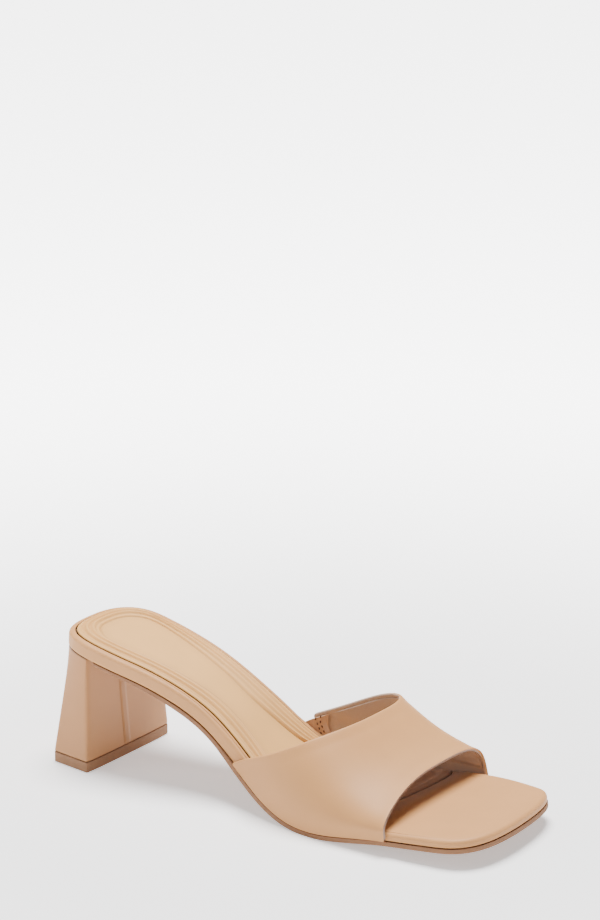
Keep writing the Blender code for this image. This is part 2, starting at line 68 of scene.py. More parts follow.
# degrees by which the camera turns off its target, about its own axes in this order
CAMERA_TURNS = (("Y", -0.159), ("X", 3.905), ("Z", -0.159))
CAMERA_CLIP = (0.1, 20)
LIGHT_TARGET = (0, 0, 0.03)
LIGHT_COLOUR = (1.0, 0.99, 0.98)
# name, place, size, watts
SOFTBOXES = (("overhead", (-0.15, 0.25, 1.30), 0.80, 50.0), ("left", (-1.00, -1.10, 0.85), 1.20, 6.5))


def plain_material(name, colour, roughness, specular=0.3):
    """A Principled material of one colour, with its shader returned beside it."""
    material = bpy.data.materials.new(name)
    material.use_nodes = True
    shader = material.node_tree.nodes["Principled BSDF"]
    shader.inputs["Base Color"].default_value = (*colour, 1)
    shader.inputs["Roughness"].default_value = roughness
    shader.inputs["Specular IOR Level"].default_value = specular
    return material, shader


def put(name, data):
    """An object made of some data and linked into the scene."""
    made = bpy.data.objects.new(name, data)
    bpy.context.scene.collection.objects.link(made)
    return made


def node(material, kind, inputs=None, **settings):
    """Add a node to a material. Each input is set to a value or linked to another node's output."""
    made = material.node_tree.nodes.new("ShaderNode" + kind)
    for name, value in settings.items():
        setattr(made, name, value)
    for name, value in (inputs or {}).items():
        if isinstance(value, bpy.types.NodeSocket):
            material.node_tree.links.new(value, made.inputs[name])
        else:
            made.inputs[name].default_value = value
    return made


def fade(material, value, start, end, low=0, high=1):
    """Output of a node that goes from low to high with level ends as a value goes from start to end."""
    inputs = {"Value": value, "From Min": start, "From Max": end, "To Min": low, "To Max": high}
    return node(material, "MapRange", inputs, interpolation_type="SMOOTHSTEP").outputs["Result"]


def make_studio():
    """Floor plane, world, softboxes aimed at the shoe, and the camera."""
    data = bpy.data.meshes.new("floor")
    signs = ((-1, -1), (1, -1), (1, 1), (-1, 1))
    data.from_pydata([(x * FLOOR_SIZE / 2, y * FLOOR_SIZE / 2, 0) for x, y in signs], [], [(0, 1, 2, 3)])
    floor = put("floor", data)
    paper, shader = plain_material("floor_paper", FLOOR_COLOUR, FLOOR_ROUGHNESS)
    place = node(paper, "TexCoord").outputs["Object"]
    reach = node(paper, "VectorMath", {0: place}, operation="LENGTH").outputs["Value"]
    glow = fade(paper, reach, *FLOOR_GLOW_RUN, *FLOOR_GLOW)
    paper.node_tree.links.new(glow, shader.inputs["Emission Strength"])
    shader.inputs["Emission Color"].default_value = (*WORLD_COLOUR, 1)
    data.materials.append(paper)
    world = bpy.data.worlds.new("studio")
    world.use_nodes = True
    background = world.node_tree.nodes["Background"]
    background.inputs["Color"].default_value = (*WORLD_COLOUR, 1)
    background.inputs["Strength"].default_value = WORLD_STRENGTH
    bpy.context.scene.world = world
    for name, place, size, power in SOFTBOXES:
        light = bpy.data.lights.new(name, "AREA")
        light.shape = "DISK"
        light.size = size
        light.energy = power
        light.color = LIGHT_COLOUR
        lamp = put(name, light)
        lamp.location = place
        lamp.rotation_mode = "QUATERNION"
        lamp.rotation_quaternion = (Vector(LIGHT_TARGET) - Vector(place)).to_track_quat("-Z", "Y")
    lens = bpy.data.cameras.new("camera")
    lens.lens = CAMERA_LENS
    lens.clip_start, lens.clip_end = CAMERA_CLIP
    camera = put("camera", lens)
    a, e = math.radians(CAMERA_AZIMUTH), math.radians(CAMERA_ELEVATION)
    back = Vector((math.sin(a) * math.cos(e), -math.cos(a) * math.cos(e), math.sin(e)))
    look = (-back).to_track_quat("-Z", "Y").to_matrix()
    for axis, angle in CAMERA_TURNS:
        look = look @ Matrix.Rotation(math.radians(angle), 3, axis)
    camera.rotation_mode = "QUATERNION"
    camera.rotation_quaternion = look.to_quaternion()
    camera.location = Vector(CAMERA_TARGET) + back * CAMERA_DISTANCE
    bpy.context.scene.camera = camera


make_studio()

# Outsole
# A thin sheet of brown rubber, die-cut to the sole pattern and cemented under the platform from the heel
# breast to the toe. Its edge is buffed, and its tread is a fine cross-ribbed field inside a plain border.
GAP = 0.0003
SOLE_LENGTH = 0.2492
BALL_WIDTH = 0.0852
SEAT_WIDTH = 0.0567
HEEL_HEIGHT = 0.0566
TOE_SPRING = 0.0083
OUTSOLE_THICKNESS = 0.0022
OUTSOLE_EDGE_ROUND = 0.0004
OUTSOLE_TOP_BREAK = 0.0001
OUTSOLE_TOP_INSET = 0.0003
OUTSOLE_BACK_END = (0.004, 3.0)
OUTSOLE_BACK_SHARE = 0.6
OUTSOLE_BACK_RUN = 0.05
OUTSOLE_SPINE_REACH = 0.012
OUTSOLE_POINTS = (30, 420, 50)
# how far it stands out past the platform at the waist, at the toe and under the strap's turned edges,
# then start and length of the change from waist to toe and of both changes beside the strap
OUTSOLE_MARGINS = (-0.0001, 0.0003, 0.0013)
TOE_MARGIN_RUN = (0.02, 0.07)
STRAP_MARGIN_RUNS = ((0.095, 0.02), (0.185, 0.02))
TREAD_FLAT_DEPTH = 0.00025
TREAD_HEIGHT = OUTSOLE_THICKNESS + GAP - TREAD_FLAT_DEPTH
HEEL_SEAT_DEPTH = 0.0222
TOE_ENDS = ((0.022, 3.0), (0.013, 3.0))
TOE_SLANT = math.tan(math.radians(3.43))
OUTSOLE_BORDER = 0.0055
OUTSOLE_BACK_BORDER = 0.0018
OUTSOLE_BORDER_RUN = 0.025
OUTSOLE_GROOVE = 0.00018
GROOVE_WALL = (0.92, 0.84)
RIB_PITCH = 0.0045
RIB_DEPTH = 0.00022
RIB_FADE = 0.1
OUTSOLE_COLOUR = (0.260, 0.125, 0.060)
RUBBER_ROUGHNESS = 0.75
# spread and scale of the mottling, then kind, scale and depth of each layer of grain
RUBBER_MOTTLE = (0.06, 180)
RUBBER_GRAIN = (("TexNoise", 900, 0.00004), ("TexNoise", 4000, 0.00002))
# share of a colour left where the painted shade is full
PAINTED_SHADE_TONE = 0.12
END_STEPS = 80
SIDE_STEPS = 301
SLANT_REACH = 3
MERGE_DISTANCE = 2e-6
SLIVER_LENGTH = 1e-7
# the sole line at stations a twentieth of its length apart: shares of the heel's rise, and of the toe
# spring at the last stations
LINE_STEPS = 20
HEEL_RISE = (1, 0.981, 0.938, 0.888, 0.832, 0.760, 0.670, 0.562, 0.438, 0.305, 0.180, 0.081, 0.019)
TOE_RISE = (0.094, 0.297, 0.500, 0.651, 0.757, 0.862, 1)
# station as a share of the sole's length, then outer and inner half as shares of the seat's width, and
# in front of the waist of the ball's
SEAT_HALVES = (
    (0.00, 0.490, 0.490),
    (0.10, 0.504, 0.497),
    (0.15, 0.499, 0.486),
    (0.20, 0.476, 0.467),
    (0.25, 0.450, 0.450),
    (0.30, 0.426, 0.434),
    (0.35, 0.417, 0.428),
    (0.40, 0.436, 0.437),
)
BALL_HALVES = (
    (0.45, 0.311, 0.301),
    (0.50, 0.344, 0.330),
    (0.55, 0.384, 0.379),
    (0.60, 0.421, 0.438),
    (0.65, 0.447, 0.491),
    (0.70, 0.457, 0.527),
    (0.75, 0.455, 0.555),
    (0.80, 0.454, 0.560),
    (0.85, 0.451, 0.549),
    (0.90, 0.439, 0.527),
    (0.95, 0.422, 0.493),
    (1.00, 0.404, 0.448),
)
HEEL_BASE_SETBACK = 0.0002
HEEL_BASE_OFFSET = -0.0010
lift_low, lift_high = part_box("heel_lift")
HEEL_BACK_X = lift_low[0] - HEEL_BASE_SETBACK
CENTRE_Y = (lift_low[1] + lift_high[1]) / 2 - HEEL_BASE_OFFSET


def spline(knots, values):
    """Return the natural cubic spline through the knots as a function of whole arrays."""
    knots = np.asarray(knots, float)
    values = np.asarray(values, float)
    step = np.diff(knots)
    matrix = np.eye(len(knots))
    side = np.zeros(len(knots))
    slope = np.diff(values) / step
    for i in range(1, len(knots) - 1):
        matrix[i, i - 1 : i + 2] = step[i - 1], 2 * (step[i - 1] + step[i]), step[i]
        side[i] = 6 * (slope[i] - slope[i - 1])
    bend = np.linalg.solve(matrix, side)

    def curve(x):
        x = np.asarray(x, float)
        i = np.clip(np.searchsorted(knots, x) - 1, 0, len(step) - 1)
        a = knots[i + 1] - x
        b = x - knots[i]
        h = step[i]
        cubic = (bend[i] * a**3 + bend[i + 1] * b**3) / (6 * h)
        return cubic + (values[i] / h - bend[i] * h / 6) * a + (values[i + 1] / h - bend[i + 1] * h / 6) * b

    return curve


def smooth(x):
    """Rise from 0 to 1 with level ends."""
    x = np.clip(x, 0, 1)
    return x * x * (3 - 2 * x)


def ramp(x, start, length):
    """Rise from 0 to 1 with level ends, over a length from a start."""
    return smooth((x - start) / length)


def sole_line():
    """Stations, x, z and slope along the platform's underside: z is a spline of the station, and x is the
    running sum of the level share of each step, so the line keeps its length when it is bent."""
    heel = np.pad(HEEL_RISE, (0, LINE_STEPS + 1 - len(HEEL_RISE)))
    toe = np.pad(TOE_RISE, (LINE_STEPS + 1 - len(TOE_RISE), 0))
    heights = TREAD_HEIGHT + (HEEL_HEIGHT - TREAD_HEIGHT) * heel + TOE_SPRING * toe
    stations = np.linspace(0, SOLE_LENGTH, 600)
    z = spline(np.arange(LINE_STEPS + 1) / LINE_STEPS * SOLE_LENGTH, heights)(stations)
    rise = np.gradient(z, stations)
    run = np.sqrt(1 - rise**2)
    x = np.concatenate(([0], np.cumsum((run[1:] + run[:-1]) / 2 * (stations[1] - stations[0]))))
    return stations, x, z, np.arcsin(rise)


LINE_S, LINE_X, LINE_Z, LINE_SLOPE = sole_line()
seat_rows, ball_rows = np.array(SEAT_HALVES), np.array(BALL_HALVES)
width_places = np.concatenate((seat_rows, ball_rows))[:, 0] * SOLE_LENGTH
half_widths = np.concatenate((SEAT_WIDTH * seat_rows, BALL_WIDTH * ball_rows))
OUTER_HALF, INNER_HALF = [spline(width_places, half_widths[:, k]) for k in (1, 2)]


def extend(x, known, values):
    """Read a curve, carried on straight past its two ends."""
    start = (values[1] - values[0]) / (known[1] - known[0])
    end = (values[-1] - values[-2]) / (known[-1] - known[-2])
    beyond = np.minimum(x - known[0], 0) * start + np.maximum(x - known[-1], 0) * end
    return np.interp(x, known, values) + beyond


def on_plate(flat, h):
    """Bend flat pattern points (station, side) into the part's frame, at height h square to the sole line."""
    s = flat[:, 0]
    slope = np.interp(s, LINE_S, LINE_SLOPE)
    x = HEEL_BACK_X + extend(s, LINE_S, LINE_X) - h * np.sin(slope)
    z = extend(s, LINE_S, LINE_Z) + h * np.cos(slope)
    return np.column_stack((x, CENTRE_Y + flat[:, 1], z))


def closure(distance, length, power):
    """Share of the full width at a distance inside a rounded end: a superellipse quarter."""
    left = 1 - np.clip(distance / length, 0, 1)
    return (1 - left**power) ** (1 / power)


def even(path, count):
    """Points at even steps of arc length along a path, its last point left out."""
    run = np.concatenate(([0], np.cumsum(np.linalg.norm(np.diff(path, axis=0), axis=1))))
    at = np.linspace(0, run[-1], count, endpoint=False)
    return np.column_stack([np.interp(at, run, path[:, k]) for k in range(path.shape[1])])


def pattern(back, front, back_end, front_ends, slant, points, halves=None):
    """Closed outline of a flat pattern from the middle of its back round the outer side.

    Each side is its half width times the closure of both ends. points are the even steps from the middle
    of the back to the back corner, on to the front corner, and on to the middle of the front. Point i
    pairs with point -i across the pattern.
    """
    sides = []
    turn = np.linspace(0, math.pi / 2, END_STEPS + 1)
    for half, front_end, sign in zip(halves or (OUTER_HALF, INNER_HALF), front_ends, (-1, 1)):
        back_s = back + back_end[0] * (1 - np.cos(turn) ** (2 / back_end[1]))
        front_s = front - front_end[0] * (1 - np.cos(turn) ** (2 / front_end[1]))[::-1]
        back_s = back_s[back_s < front_s[0] - back_end[0] / END_STEPS**2]
        s = np.concatenate((back_s, np.linspace(back_s[-1], front_s[0], SIDE_STEPS + 1)[1:-1], front_s))
        y = sign * half(s) * closure(s - back, *back_end) * closure(front - s, *front_end)
        near_toe = ramp(s, front - SLANT_REACH * front_end[0], SLANT_REACH * front_end[0])
        path = np.column_stack((s - slant * np.maximum(y, 0) * near_toe, y))
        last = len(s) - 1
        cuts = (0, END_STEPS // 2, last - END_STEPS // 2, last)
        parts = [even(path[a : b + 1], count) for a, b, count in zip(cuts, cuts[1:], points)]
        sides.append(np.concatenate(parts + [path[-1:]]))
    return np.concatenate((sides[0], sides[1][-2:0:-1]))


def shifted(outline, distance):
    """Move each point of a closed outline inwards, square to the outline."""
    tangent = np.roll(outline, -1, 0) - np.roll(outline, 1, 0)
    tangent /= np.linalg.norm(tangent, axis=1)[:, None]
    inward = np.column_stack((-tangent[:, 1], tangent[:, 0]))
    return outline + inward * distance


def spine(ring, reach):
    """The line that a ring closes on: the middle of each pair of points, held a reach inside both ends."""
    middle = (ring + ring[-np.arange(len(ring))]) / 2
    order = np.argsort(middle[:, 0], kind="stable")
    x = np.clip(middle[:, 0], ring[:, 0].min() + reach, ring[:, 0].max() - reach)
    return np.column_stack((x, np.interp(x, middle[order, 0], middle[order, 1])))


def quarter(radius, degrees):
    """At an angle round an edge: how much of the radius is left on one side and gained on the other."""
    turn = math.radians(degrees)
    return radius * (1 - math.sin(turn)), radius * (1 - math.cos(turn))


def towards(ring, other, shares):
    """Rings between two paired rings, at the given shares of the way."""
    return [ring + (other - ring) * share for share in shares]


def add_mesh(name, points, faces, material, sharp=50, painted_shade=None, second=None):
    """One mesh object at the origin from points and faces, doubles merged, shaded smooth by angle.

    The painted_shade values, from 0 to 1 at each point, are painted shade: how far the material darkens the
    point in creases, recesses, undersides and where parts meet.
    second is another material and a mark on each face that takes it.
    """
    data = bpy.data.meshes.new(name)
    data.from_pydata(np.asarray(points, float).tolist(), [], faces)
    if painted_shade is not None:
        layer = data.attributes.new("painted_shade", "FLOAT", "POINT")
        layer.data.foreach_set("value", np.asarray(painted_shade, np.float32))
    data.materials.append(material)
    if second is not None:
        data.materials.append(second[0])
        data.polygons.foreach_set("material_index", np.asarray(second[1], np.int32))
    made = put(name, data)
    work = bmesh.new()
    work.from_mesh(data)
    bmesh.ops.remove_doubles(work, verts=work.verts, dist=MERGE_DISTANCE)
    bmesh.ops.dissolve_degenerate(work, dist=SLIVER_LENGTH, edges=work.edges)
    bmesh.ops.recalc_face_normals(work, faces=work.faces)
    work.to_mesh(data)
    work.free()
    data.shade_smooth()
    data.set_sharp_from_angle(angle=math.radians(sharp))
    return made


def tube_faces(rings, size):
    """Quads between neighbouring rings of one size."""
    k = np.arange(rings - 1)[:, None] * size
    i = np.arange(size)[None]
    j = (i + 1) % size
    return np.stack((k + i, k + j, k + size + j, k + size + i), -1).reshape(-1, 4).tolist()


def ring_stack(name, rings, material, sharp=50, painted_shade=None):
    """Close a stack of rings in space; its first and last ring each lie on a spine, so both ends close.
    painted_shade holds one amount of painted shade for each ring, or one for each of its points."""
    size = len(rings[0])
    if painted_shade is not None:
        painted_shade = np.concatenate([np.zeros(size) + depth for depth in painted_shade])
    faces = tube_faces(len(rings), size)
    return add_mesh(name, np.concatenate(rings), faces, material, sharp, painted_shade)


def colour_noise(material, shader, colour, spread, scale):
    """Vary a base colour gently with noise, between spread darker and lighter, and darken it by the mesh's
    painted_shade, as painted shade. Returns the object coordinates."""
    place = node(material, "TexCoord").outputs["Object"]
    noise = node(material, "TexNoise", {"Vector": place, "Scale": scale, "Detail": 3})
    tones = node(material, "ValToRGB", {"Fac": noise.outputs["Fac"]})
    for element, at, share in zip(tones.color_ramp.elements, (0.3, 0.7), (-spread, spread)):
        element.position = at
        element.color = (*[min(c * (1 + share), 1) for c in colour], 1)
    # painted shade: the mesh's attribute mixes the colour towards a darker copy of itself
    depth = node(material, "Attribute", attribute_name="painted_shade").outputs["Fac"]
    painted_shade = (*[c * PAINTED_SHADE_TONE for c in colour], 1)
    inputs = {"Factor": depth, "A": tones.outputs["Color"], "B": painted_shade}
    darkened = node(material, "Mix", inputs, data_type="RGBA").outputs["Result"]
    material.node_tree.links.new(darkened, shader.inputs["Base Color"])
    return place


def grain(material, shader, place, layers):
    """Stack bump layers of (texture, scale, depth) under the shader's normal."""
    below = {}
    for kind, scale, depth in layers:
        height = node(material, kind, {"Vector": place, "Scale": scale}).outputs[0]
        bump = node(material, "Bump", {"Height": height, "Strength": 1, "Distance": depth, **below})
        below = {"Normal": bump.outputs["Normal"]}
    material.node_tree.links.new(below["Normal"], shader.inputs["Normal"])


def rubber(name, colour):
    """Matt buffed rubber with a fine pebble."""
    material, shader = plain_material(name, colour, RUBBER_ROUGHNESS)
    place = colour_noise(material, shader, colour, *RUBBER_MOTTLE)
    grain(material, shader, place, RUBBER_GRAIN)
    return material


def make_outsole():
    """Rings from the underside's spine out to the edge, up round it and back in over the top. The
    underside is worn flat at the floor, has a plain border and then ribs across it as shallow waves."""
    back = HEEL_SEAT_DEPTH + GAP
    flat = pattern(back, SOLE_LENGTH, OUTSOLE_BACK_END, TOE_ENDS, TOE_SLANT, OUTSOLE_POINTS)
    waist, toe, under_strap = OUTSOLE_MARGINS
    s = flat[:, 0]
    begin, finish = STRAP_MARGIN_RUNS
    margin = waist + (toe - waist) * ramp(s, *TOE_MARGIN_RUN)
    margin += (under_strap - toe) * ramp(s, *begin) * (1 - ramp(s, *finish))
    outline = shifted(flat, -margin[:, None])
    full = OUTSOLE_BACK_SHARE + (1 - OUTSOLE_BACK_SHARE) * ramp(s, back, OUTSOLE_BACK_RUN)
    low = -GAP - OUTSOLE_THICKNESS * full
    outline[:, 0] = np.maximum(outline[:, 0], back)
    under = shifted(outline, OUTSOLE_EDGE_ROUND)
    middle = spine(under, OUTSOLE_SPINE_REACH)
    widening = ramp(s, back, OUTSOLE_BORDER_RUN)
    border_width = OUTSOLE_BACK_BORDER + (OUTSOLE_BORDER - OUTSOLE_BACK_BORDER) * widening
    border = shifted(outline, border_width[:, None])

    def level(flat, h):
        placed = on_plate(flat, h)
        placed[:, 2] = np.maximum(placed[:, 2], 0)
        return placed

    rings = []
    for share in np.linspace(0, 1, 26):
        flat = middle + (border - middle) * share
        wave = 0.5 - 0.5 * np.cos(2 * math.pi * flat[:, 0] / RIB_PITCH)
        ribs = RIB_DEPTH * wave * smooth((1 - share) / RIB_FADE)
        rings.append(level(flat, low + OUTSOLE_GROOVE + ribs))
    for flat, groove in zip(towards(under, border, (*GROOVE_WALL, 0)), (OUTSOLE_GROOVE, 0, 0)):
        rings.append(level(flat, low + groove))
    for turn in (30, 60, 90):
        inset, rise = quarter(OUTSOLE_EDGE_ROUND, turn)
        height = np.minimum(low + rise, -GAP - 2 * OUTSOLE_TOP_BREAK)
        rings.append(level(shifted(outline, inset), height))
    rings.append(level(shifted(outline, OUTSOLE_TOP_BREAK / 2), -GAP - OUTSOLE_TOP_BREAK))
    top = towards(shifted(outline, OUTSOLE_TOP_INSET), middle, (0, 0.3, 0.65, 1))
    rings += [level(flat, -GAP) for flat in top]
    return ring_stack("outsole_sheet", rings, rubber("outsole_rubber", OUTSOLE_COLOUR))


outsole = make_outsole()
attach(outsole, "root")
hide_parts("outsole")

# Platform
# Insole board and a thin foam platform wrapped in one piece of smooth nude leather, drawn round a soft
# upper edge. A bed for the sock is sunk into its top, and the bare leather shows in front of it.
PLATFORM_HEEL_THICKNESS = 0.0069
PLATFORM_TOE_THICKNESS = 0.0039
PLATFORM_EDGE_ROUND = 0.0016
TOE_EDGE_ROUND = 0.0021
TOE_EDGE_START = 0.205
PLATFORM_TAPER = (0.45, 0.40)
PLATFORM_POINTS = (26, 214, 40)
PLATFORM_SPINE_REACH = 0.02
PLATFORM_LOWER_ROUND = 0.0007
PLATFORM_RIM_FALL = 0.00025
PLATFORM_FALL_WIDTH = 0.004
HEEL_END = (0.026, 2.7)
SOCK_MARGIN = 0.0035
SOCK_FRONT_MARGIN = 0.0014
SOCK_FLARE_START = 0.130
SOCK_FLARE_LENGTH = 0.045
SOCK_LENGTH = 0.186
SOCK_BED_DEPTH = 0.0012
SOCK_FRONT_ENDS = ((0.0064, 3.0), (0.0094, 3.0))
SOCK_FRONT_SLANT = math.tan(math.radians(7.5))
SOCK_SLANT_LENGTH = 0.030
SEAM_GAP = 0.00060
SEAM_ROUND = 0.0004
NUDE_LEATHER = (0.578, 0.284, 0.108)
# painted shade under the strap: the colour that the leather fades to, from the first pair of places along x
# on to the second
SHADE_COLOUR = (0.405, 0.290, 0.235)
UNDER_STRAP = (0.026, 0.048)
STRAP_FRONT = (0.058, 0.070)
LEATHER_ROUGHNESS = 0.52
LEATHER_SPECULAR = 0.24
LEATHER_COAT = 0.02
COAT_ROUGHNESS = 0.35
LEATHER_MOTTLE = (0.025, 60)
LEATHER_GRAIN = (("TexVoronoi", 1500, 0.00002), ("TexNoise", 3500, 0.00002))
# painted shade on the platform: on the first rings of its underside and in the groove at the sock's seam
UNDERSIDE_SHADE = (0.8, 0.8, 0.8, 0.8, 0.5)
SEAM_SHADE = 0.75


def platform_thickness(s):
    """Thicker behind the ball, thinner at the toe, with the change hidden under the strap."""
    change = ramp(s / SOLE_LENGTH, *PLATFORM_TAPER)
    return PLATFORM_HEEL_THICKNESS + (PLATFORM_TOE_THICKNESS - PLATFORM_HEEL_THICKNESS) * change


def plate(flat, over):
    """Flat points at a height over the platform's top, given as one number or one for each point."""
    return on_plate(flat, platform_thickness(flat[:, 0]) + over)


def sock_outline(points):
    """The sock's outline: a margin inside the platform's, less under the strap, and cut slanting in front."""
    flat = pattern(0, SOCK_LENGTH + SOCK_FRONT_MARGIN, HEEL_END, SOCK_FRONT_ENDS, 0, points)
    flare = ramp(flat[:, :1], SOCK_FLARE_START, SOCK_FLARE_LENGTH)
    flat = shifted(flat, SOCK_MARGIN + (SOCK_FRONT_MARGIN - SOCK_MARGIN) * flare)
    near_front = smooth((flat[:, 0] - SOCK_LENGTH) / SOCK_SLANT_LENGTH + 1)
    flat[:, 0] += SOCK_FRONT_SLANT * flat[:, 1] * near_front
    return flat


def leather(name, colour, roughness, coat=LEATHER_COAT):
    """Smooth finished leather: faint mottling, fine pores over a soft pebble, and a thin satin coat."""
    material, shader = plain_material(name, colour, roughness, LEATHER_SPECULAR)
    place = colour_noise(material, shader, colour, *LEATHER_MOTTLE)
    grain(material, shader, place, LEATHER_GRAIN)
    shader.inputs["Coat Weight"].default_value = coat
    shader.inputs["Coat Roughness"].default_value = COAT_ROUGHNESS
    return material


def paint_shade_under_strap(material, front):
    """Fade a material to SHADE_COLOUR, as painted shade under the strap, from UNDER_STRAP on to a front, two
    pairs of places.
    """
    colour = material.node_tree.nodes["Principled BSDF"].inputs["Base Color"]
    place = node(material, "TexCoord").outputs["Object"]
    x = node(material, "SeparateXYZ", {0: place}).outputs["X"]
    shares = {k: fade(material, x, *run) for k, run in enumerate((UNDER_STRAP, front[::-1]))}
    both = node(material, "Math", shares, operation="MULTIPLY").outputs[0]
    inputs = {"Factor": both, "A": colour.links[0].from_socket, "B": (*SHADE_COLOUR, 1)}
    strap_shade = node(material, "Mix", inputs, data_type="RGBA").outputs["Result"]
    material.node_tree.links.new(strap_shade, colour)


def make_platform():
    """Rings from the underside's spine out, up the side, round the edge, in over the top to the sock's
    outline, down into its bed and in to the bed's spine."""
    outline = pattern(0, SOLE_LENGTH, HEEL_END, TOE_ENDS, TOE_SLANT, PLATFORM_POINTS)
    sock = sock_outline(PLATFORM_POINTS)
    lip = shifted(sock, -SEAM_GAP - SEAM_ROUND)
    middle = spine(outline, PLATFORM_SPINE_REACH)
    under = towards(shifted(outline, PLATFORM_LOWER_ROUND), middle, (1, 0.7, 0.35, 0))
    rings = [on_plate(flat, 0) for flat in under]
    for turn in (30, 60, 90):
        inset, rise = quarter(PLATFORM_LOWER_ROUND, turn)
        rings.append(on_plate(shifted(outline, inset), rise))
    at_toe = ramp(outline[:, 0], TOE_EDGE_START, SOLE_LENGTH - TOE_EDGE_START)
    edge = PLATFORM_EDGE_ROUND + (TOE_EDGE_ROUND - PLATFORM_EDGE_ROUND) * at_toe
    height = platform_thickness(outline[:, 0]) - PLATFORM_RIM_FALL - edge
    for share in (0.25, 0.5, 0.75):
        rings.append(on_plate(outline, PLATFORM_LOWER_ROUND + (height - PLATFORM_LOWER_ROUND) * share))
    for turn in range(0, 91, 15):
        drop, inset = quarter(edge, turn)
        rings.append(plate(shifted(outline, inset[:, None]), -PLATFORM_RIM_FALL - drop))
    rim = shifted(outline, edge[:, None])
    for flat in towards(rim, lip, np.linspace(0, 1, 26)[1:]):
        far = np.linalg.norm(flat - rim, axis=1)
        rings.append(plate(flat, -PLATFORM_RIM_FALL * (1 - smooth(far / PLATFORM_FALL_WIDTH))))
    for turn in (30, 60, 90):
        out, drop = quarter(SEAM_ROUND, turn)
        rings.append(plate(shifted(sock, -SEAM_GAP - out), -drop))
    # painted shade: darker on the underside, in the seam's groove and over the sock's bed
    painted_shade = [*UNDERSIDE_SHADE] + [0] * (len(rings) - len(UNDERSIDE_SHADE)) + [SEAM_SHADE]
    bed = shifted(sock, -SEAM_GAP)
    rings += [plate(bed, -SOCK_BED_DEPTH * drop) for drop in (0.35, 0.6, 1.0)]
    in_bed = towards(bed, spine(sock, PLATFORM_SPINE_REACH), (0.35, 0.7, 1))
    rings += [plate(flat, -SOCK_BED_DEPTH) for flat in in_bed]
    painted_shade += [1] * (len(rings) - len(painted_shade))
    skin = leather("platform_leather", NUDE_LEATHER, LEATHER_ROUGHNESS)
    paint_shade_under_strap(skin, STRAP_FRONT)
    return ring_stack("platform_wrap", rings, skin, painted_shade=painted_shade)


platform = make_platform()
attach(platform, "root")
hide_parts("platform")

# Sock
# A padded footbed of soft, slightly yellower leather over thin foam, laid in the platform's bed. Its
# border is moulded up in soft ridges round a shallow centre panel, which widens again under the strap.
SOCK_STAND = 0.0006
SOCK_EDGE_ROUND = 0.0009
SOCK_CROWN = 0.0007
SOCK_CROWN_RUN = 0.45
SOCK_DIP = 0.0011
SOCK_DIP_WIDTH = 0.0028
SOCK_GROOVE = 0.00035
SOCK_GROOVE_WIDTH = 0.0005
SOCK_RIDGE = 0.00048
SOCK_RIDGES = 3.5
SOCK_RIDGE_FADES = (0.1, 0.3)
SOCK_POINTS = (28, 202, 34)
SOCK_LEATHER = (0.715, 0.385, 0.128)
SOCK_ROUGHNESS = 0.55
# painted shade on the sock: at its edge, fading out round its shoulder, in the panel's groove, in the valleys
# between the ridges and beside the panel's line
SOCK_EDGE_SHADE = 0.9
SOCK_EDGE_SHADE_END = 45
GROOVE_SHADE = 0.24
RIDGE_SHADE = 0.16
PANEL_SHADE = 0.08
PANEL_SHADE_WIDTH = 0.006
# where the painted shade under the strap ends on the sock, past its front end
SOCK_FRONT = (0.075, 0.085)
PANEL_BACK = 0.0122
PANEL_FRONT = 0.168
PANEL_BACK_END = (0.015, 2.6)
PANEL_FRONT_ENDS = ((0.016, 3.0),) * 2
PANEL_RISE = 0.0002
PANEL_SPINE_REACH = 0.010
# where the rings begin to stand close, on the way to the panel's line, and where they end on the way in
CLOSE_RINGS = (0.86, 0.12)
# station as a share of the sole's length, then the centre panel's outer and inner half widths in metres
SOCK_PANEL = (
    (0.00, 0.0120, 0.0155),
    (0.06, 0.0145, 0.0170),
    (0.10, 0.0156, 0.0176),
    (0.15, 0.0150, 0.0162),
    (0.20, 0.0134, 0.0136),
    (0.26, 0.0114, 0.0109),
    (0.31, 0.0097, 0.0092),
    (0.36, 0.0094, 0.0079),
    (0.41, 0.0110, 0.0090),
    (0.45, 0.0131, 0.0107),
    (0.48, 0.0150, 0.0130),
    (0.52, 0.0180, 0.0190),
    (0.60, 0.0235, 0.0270),
    (0.70, 0.0270, 0.0320),
)


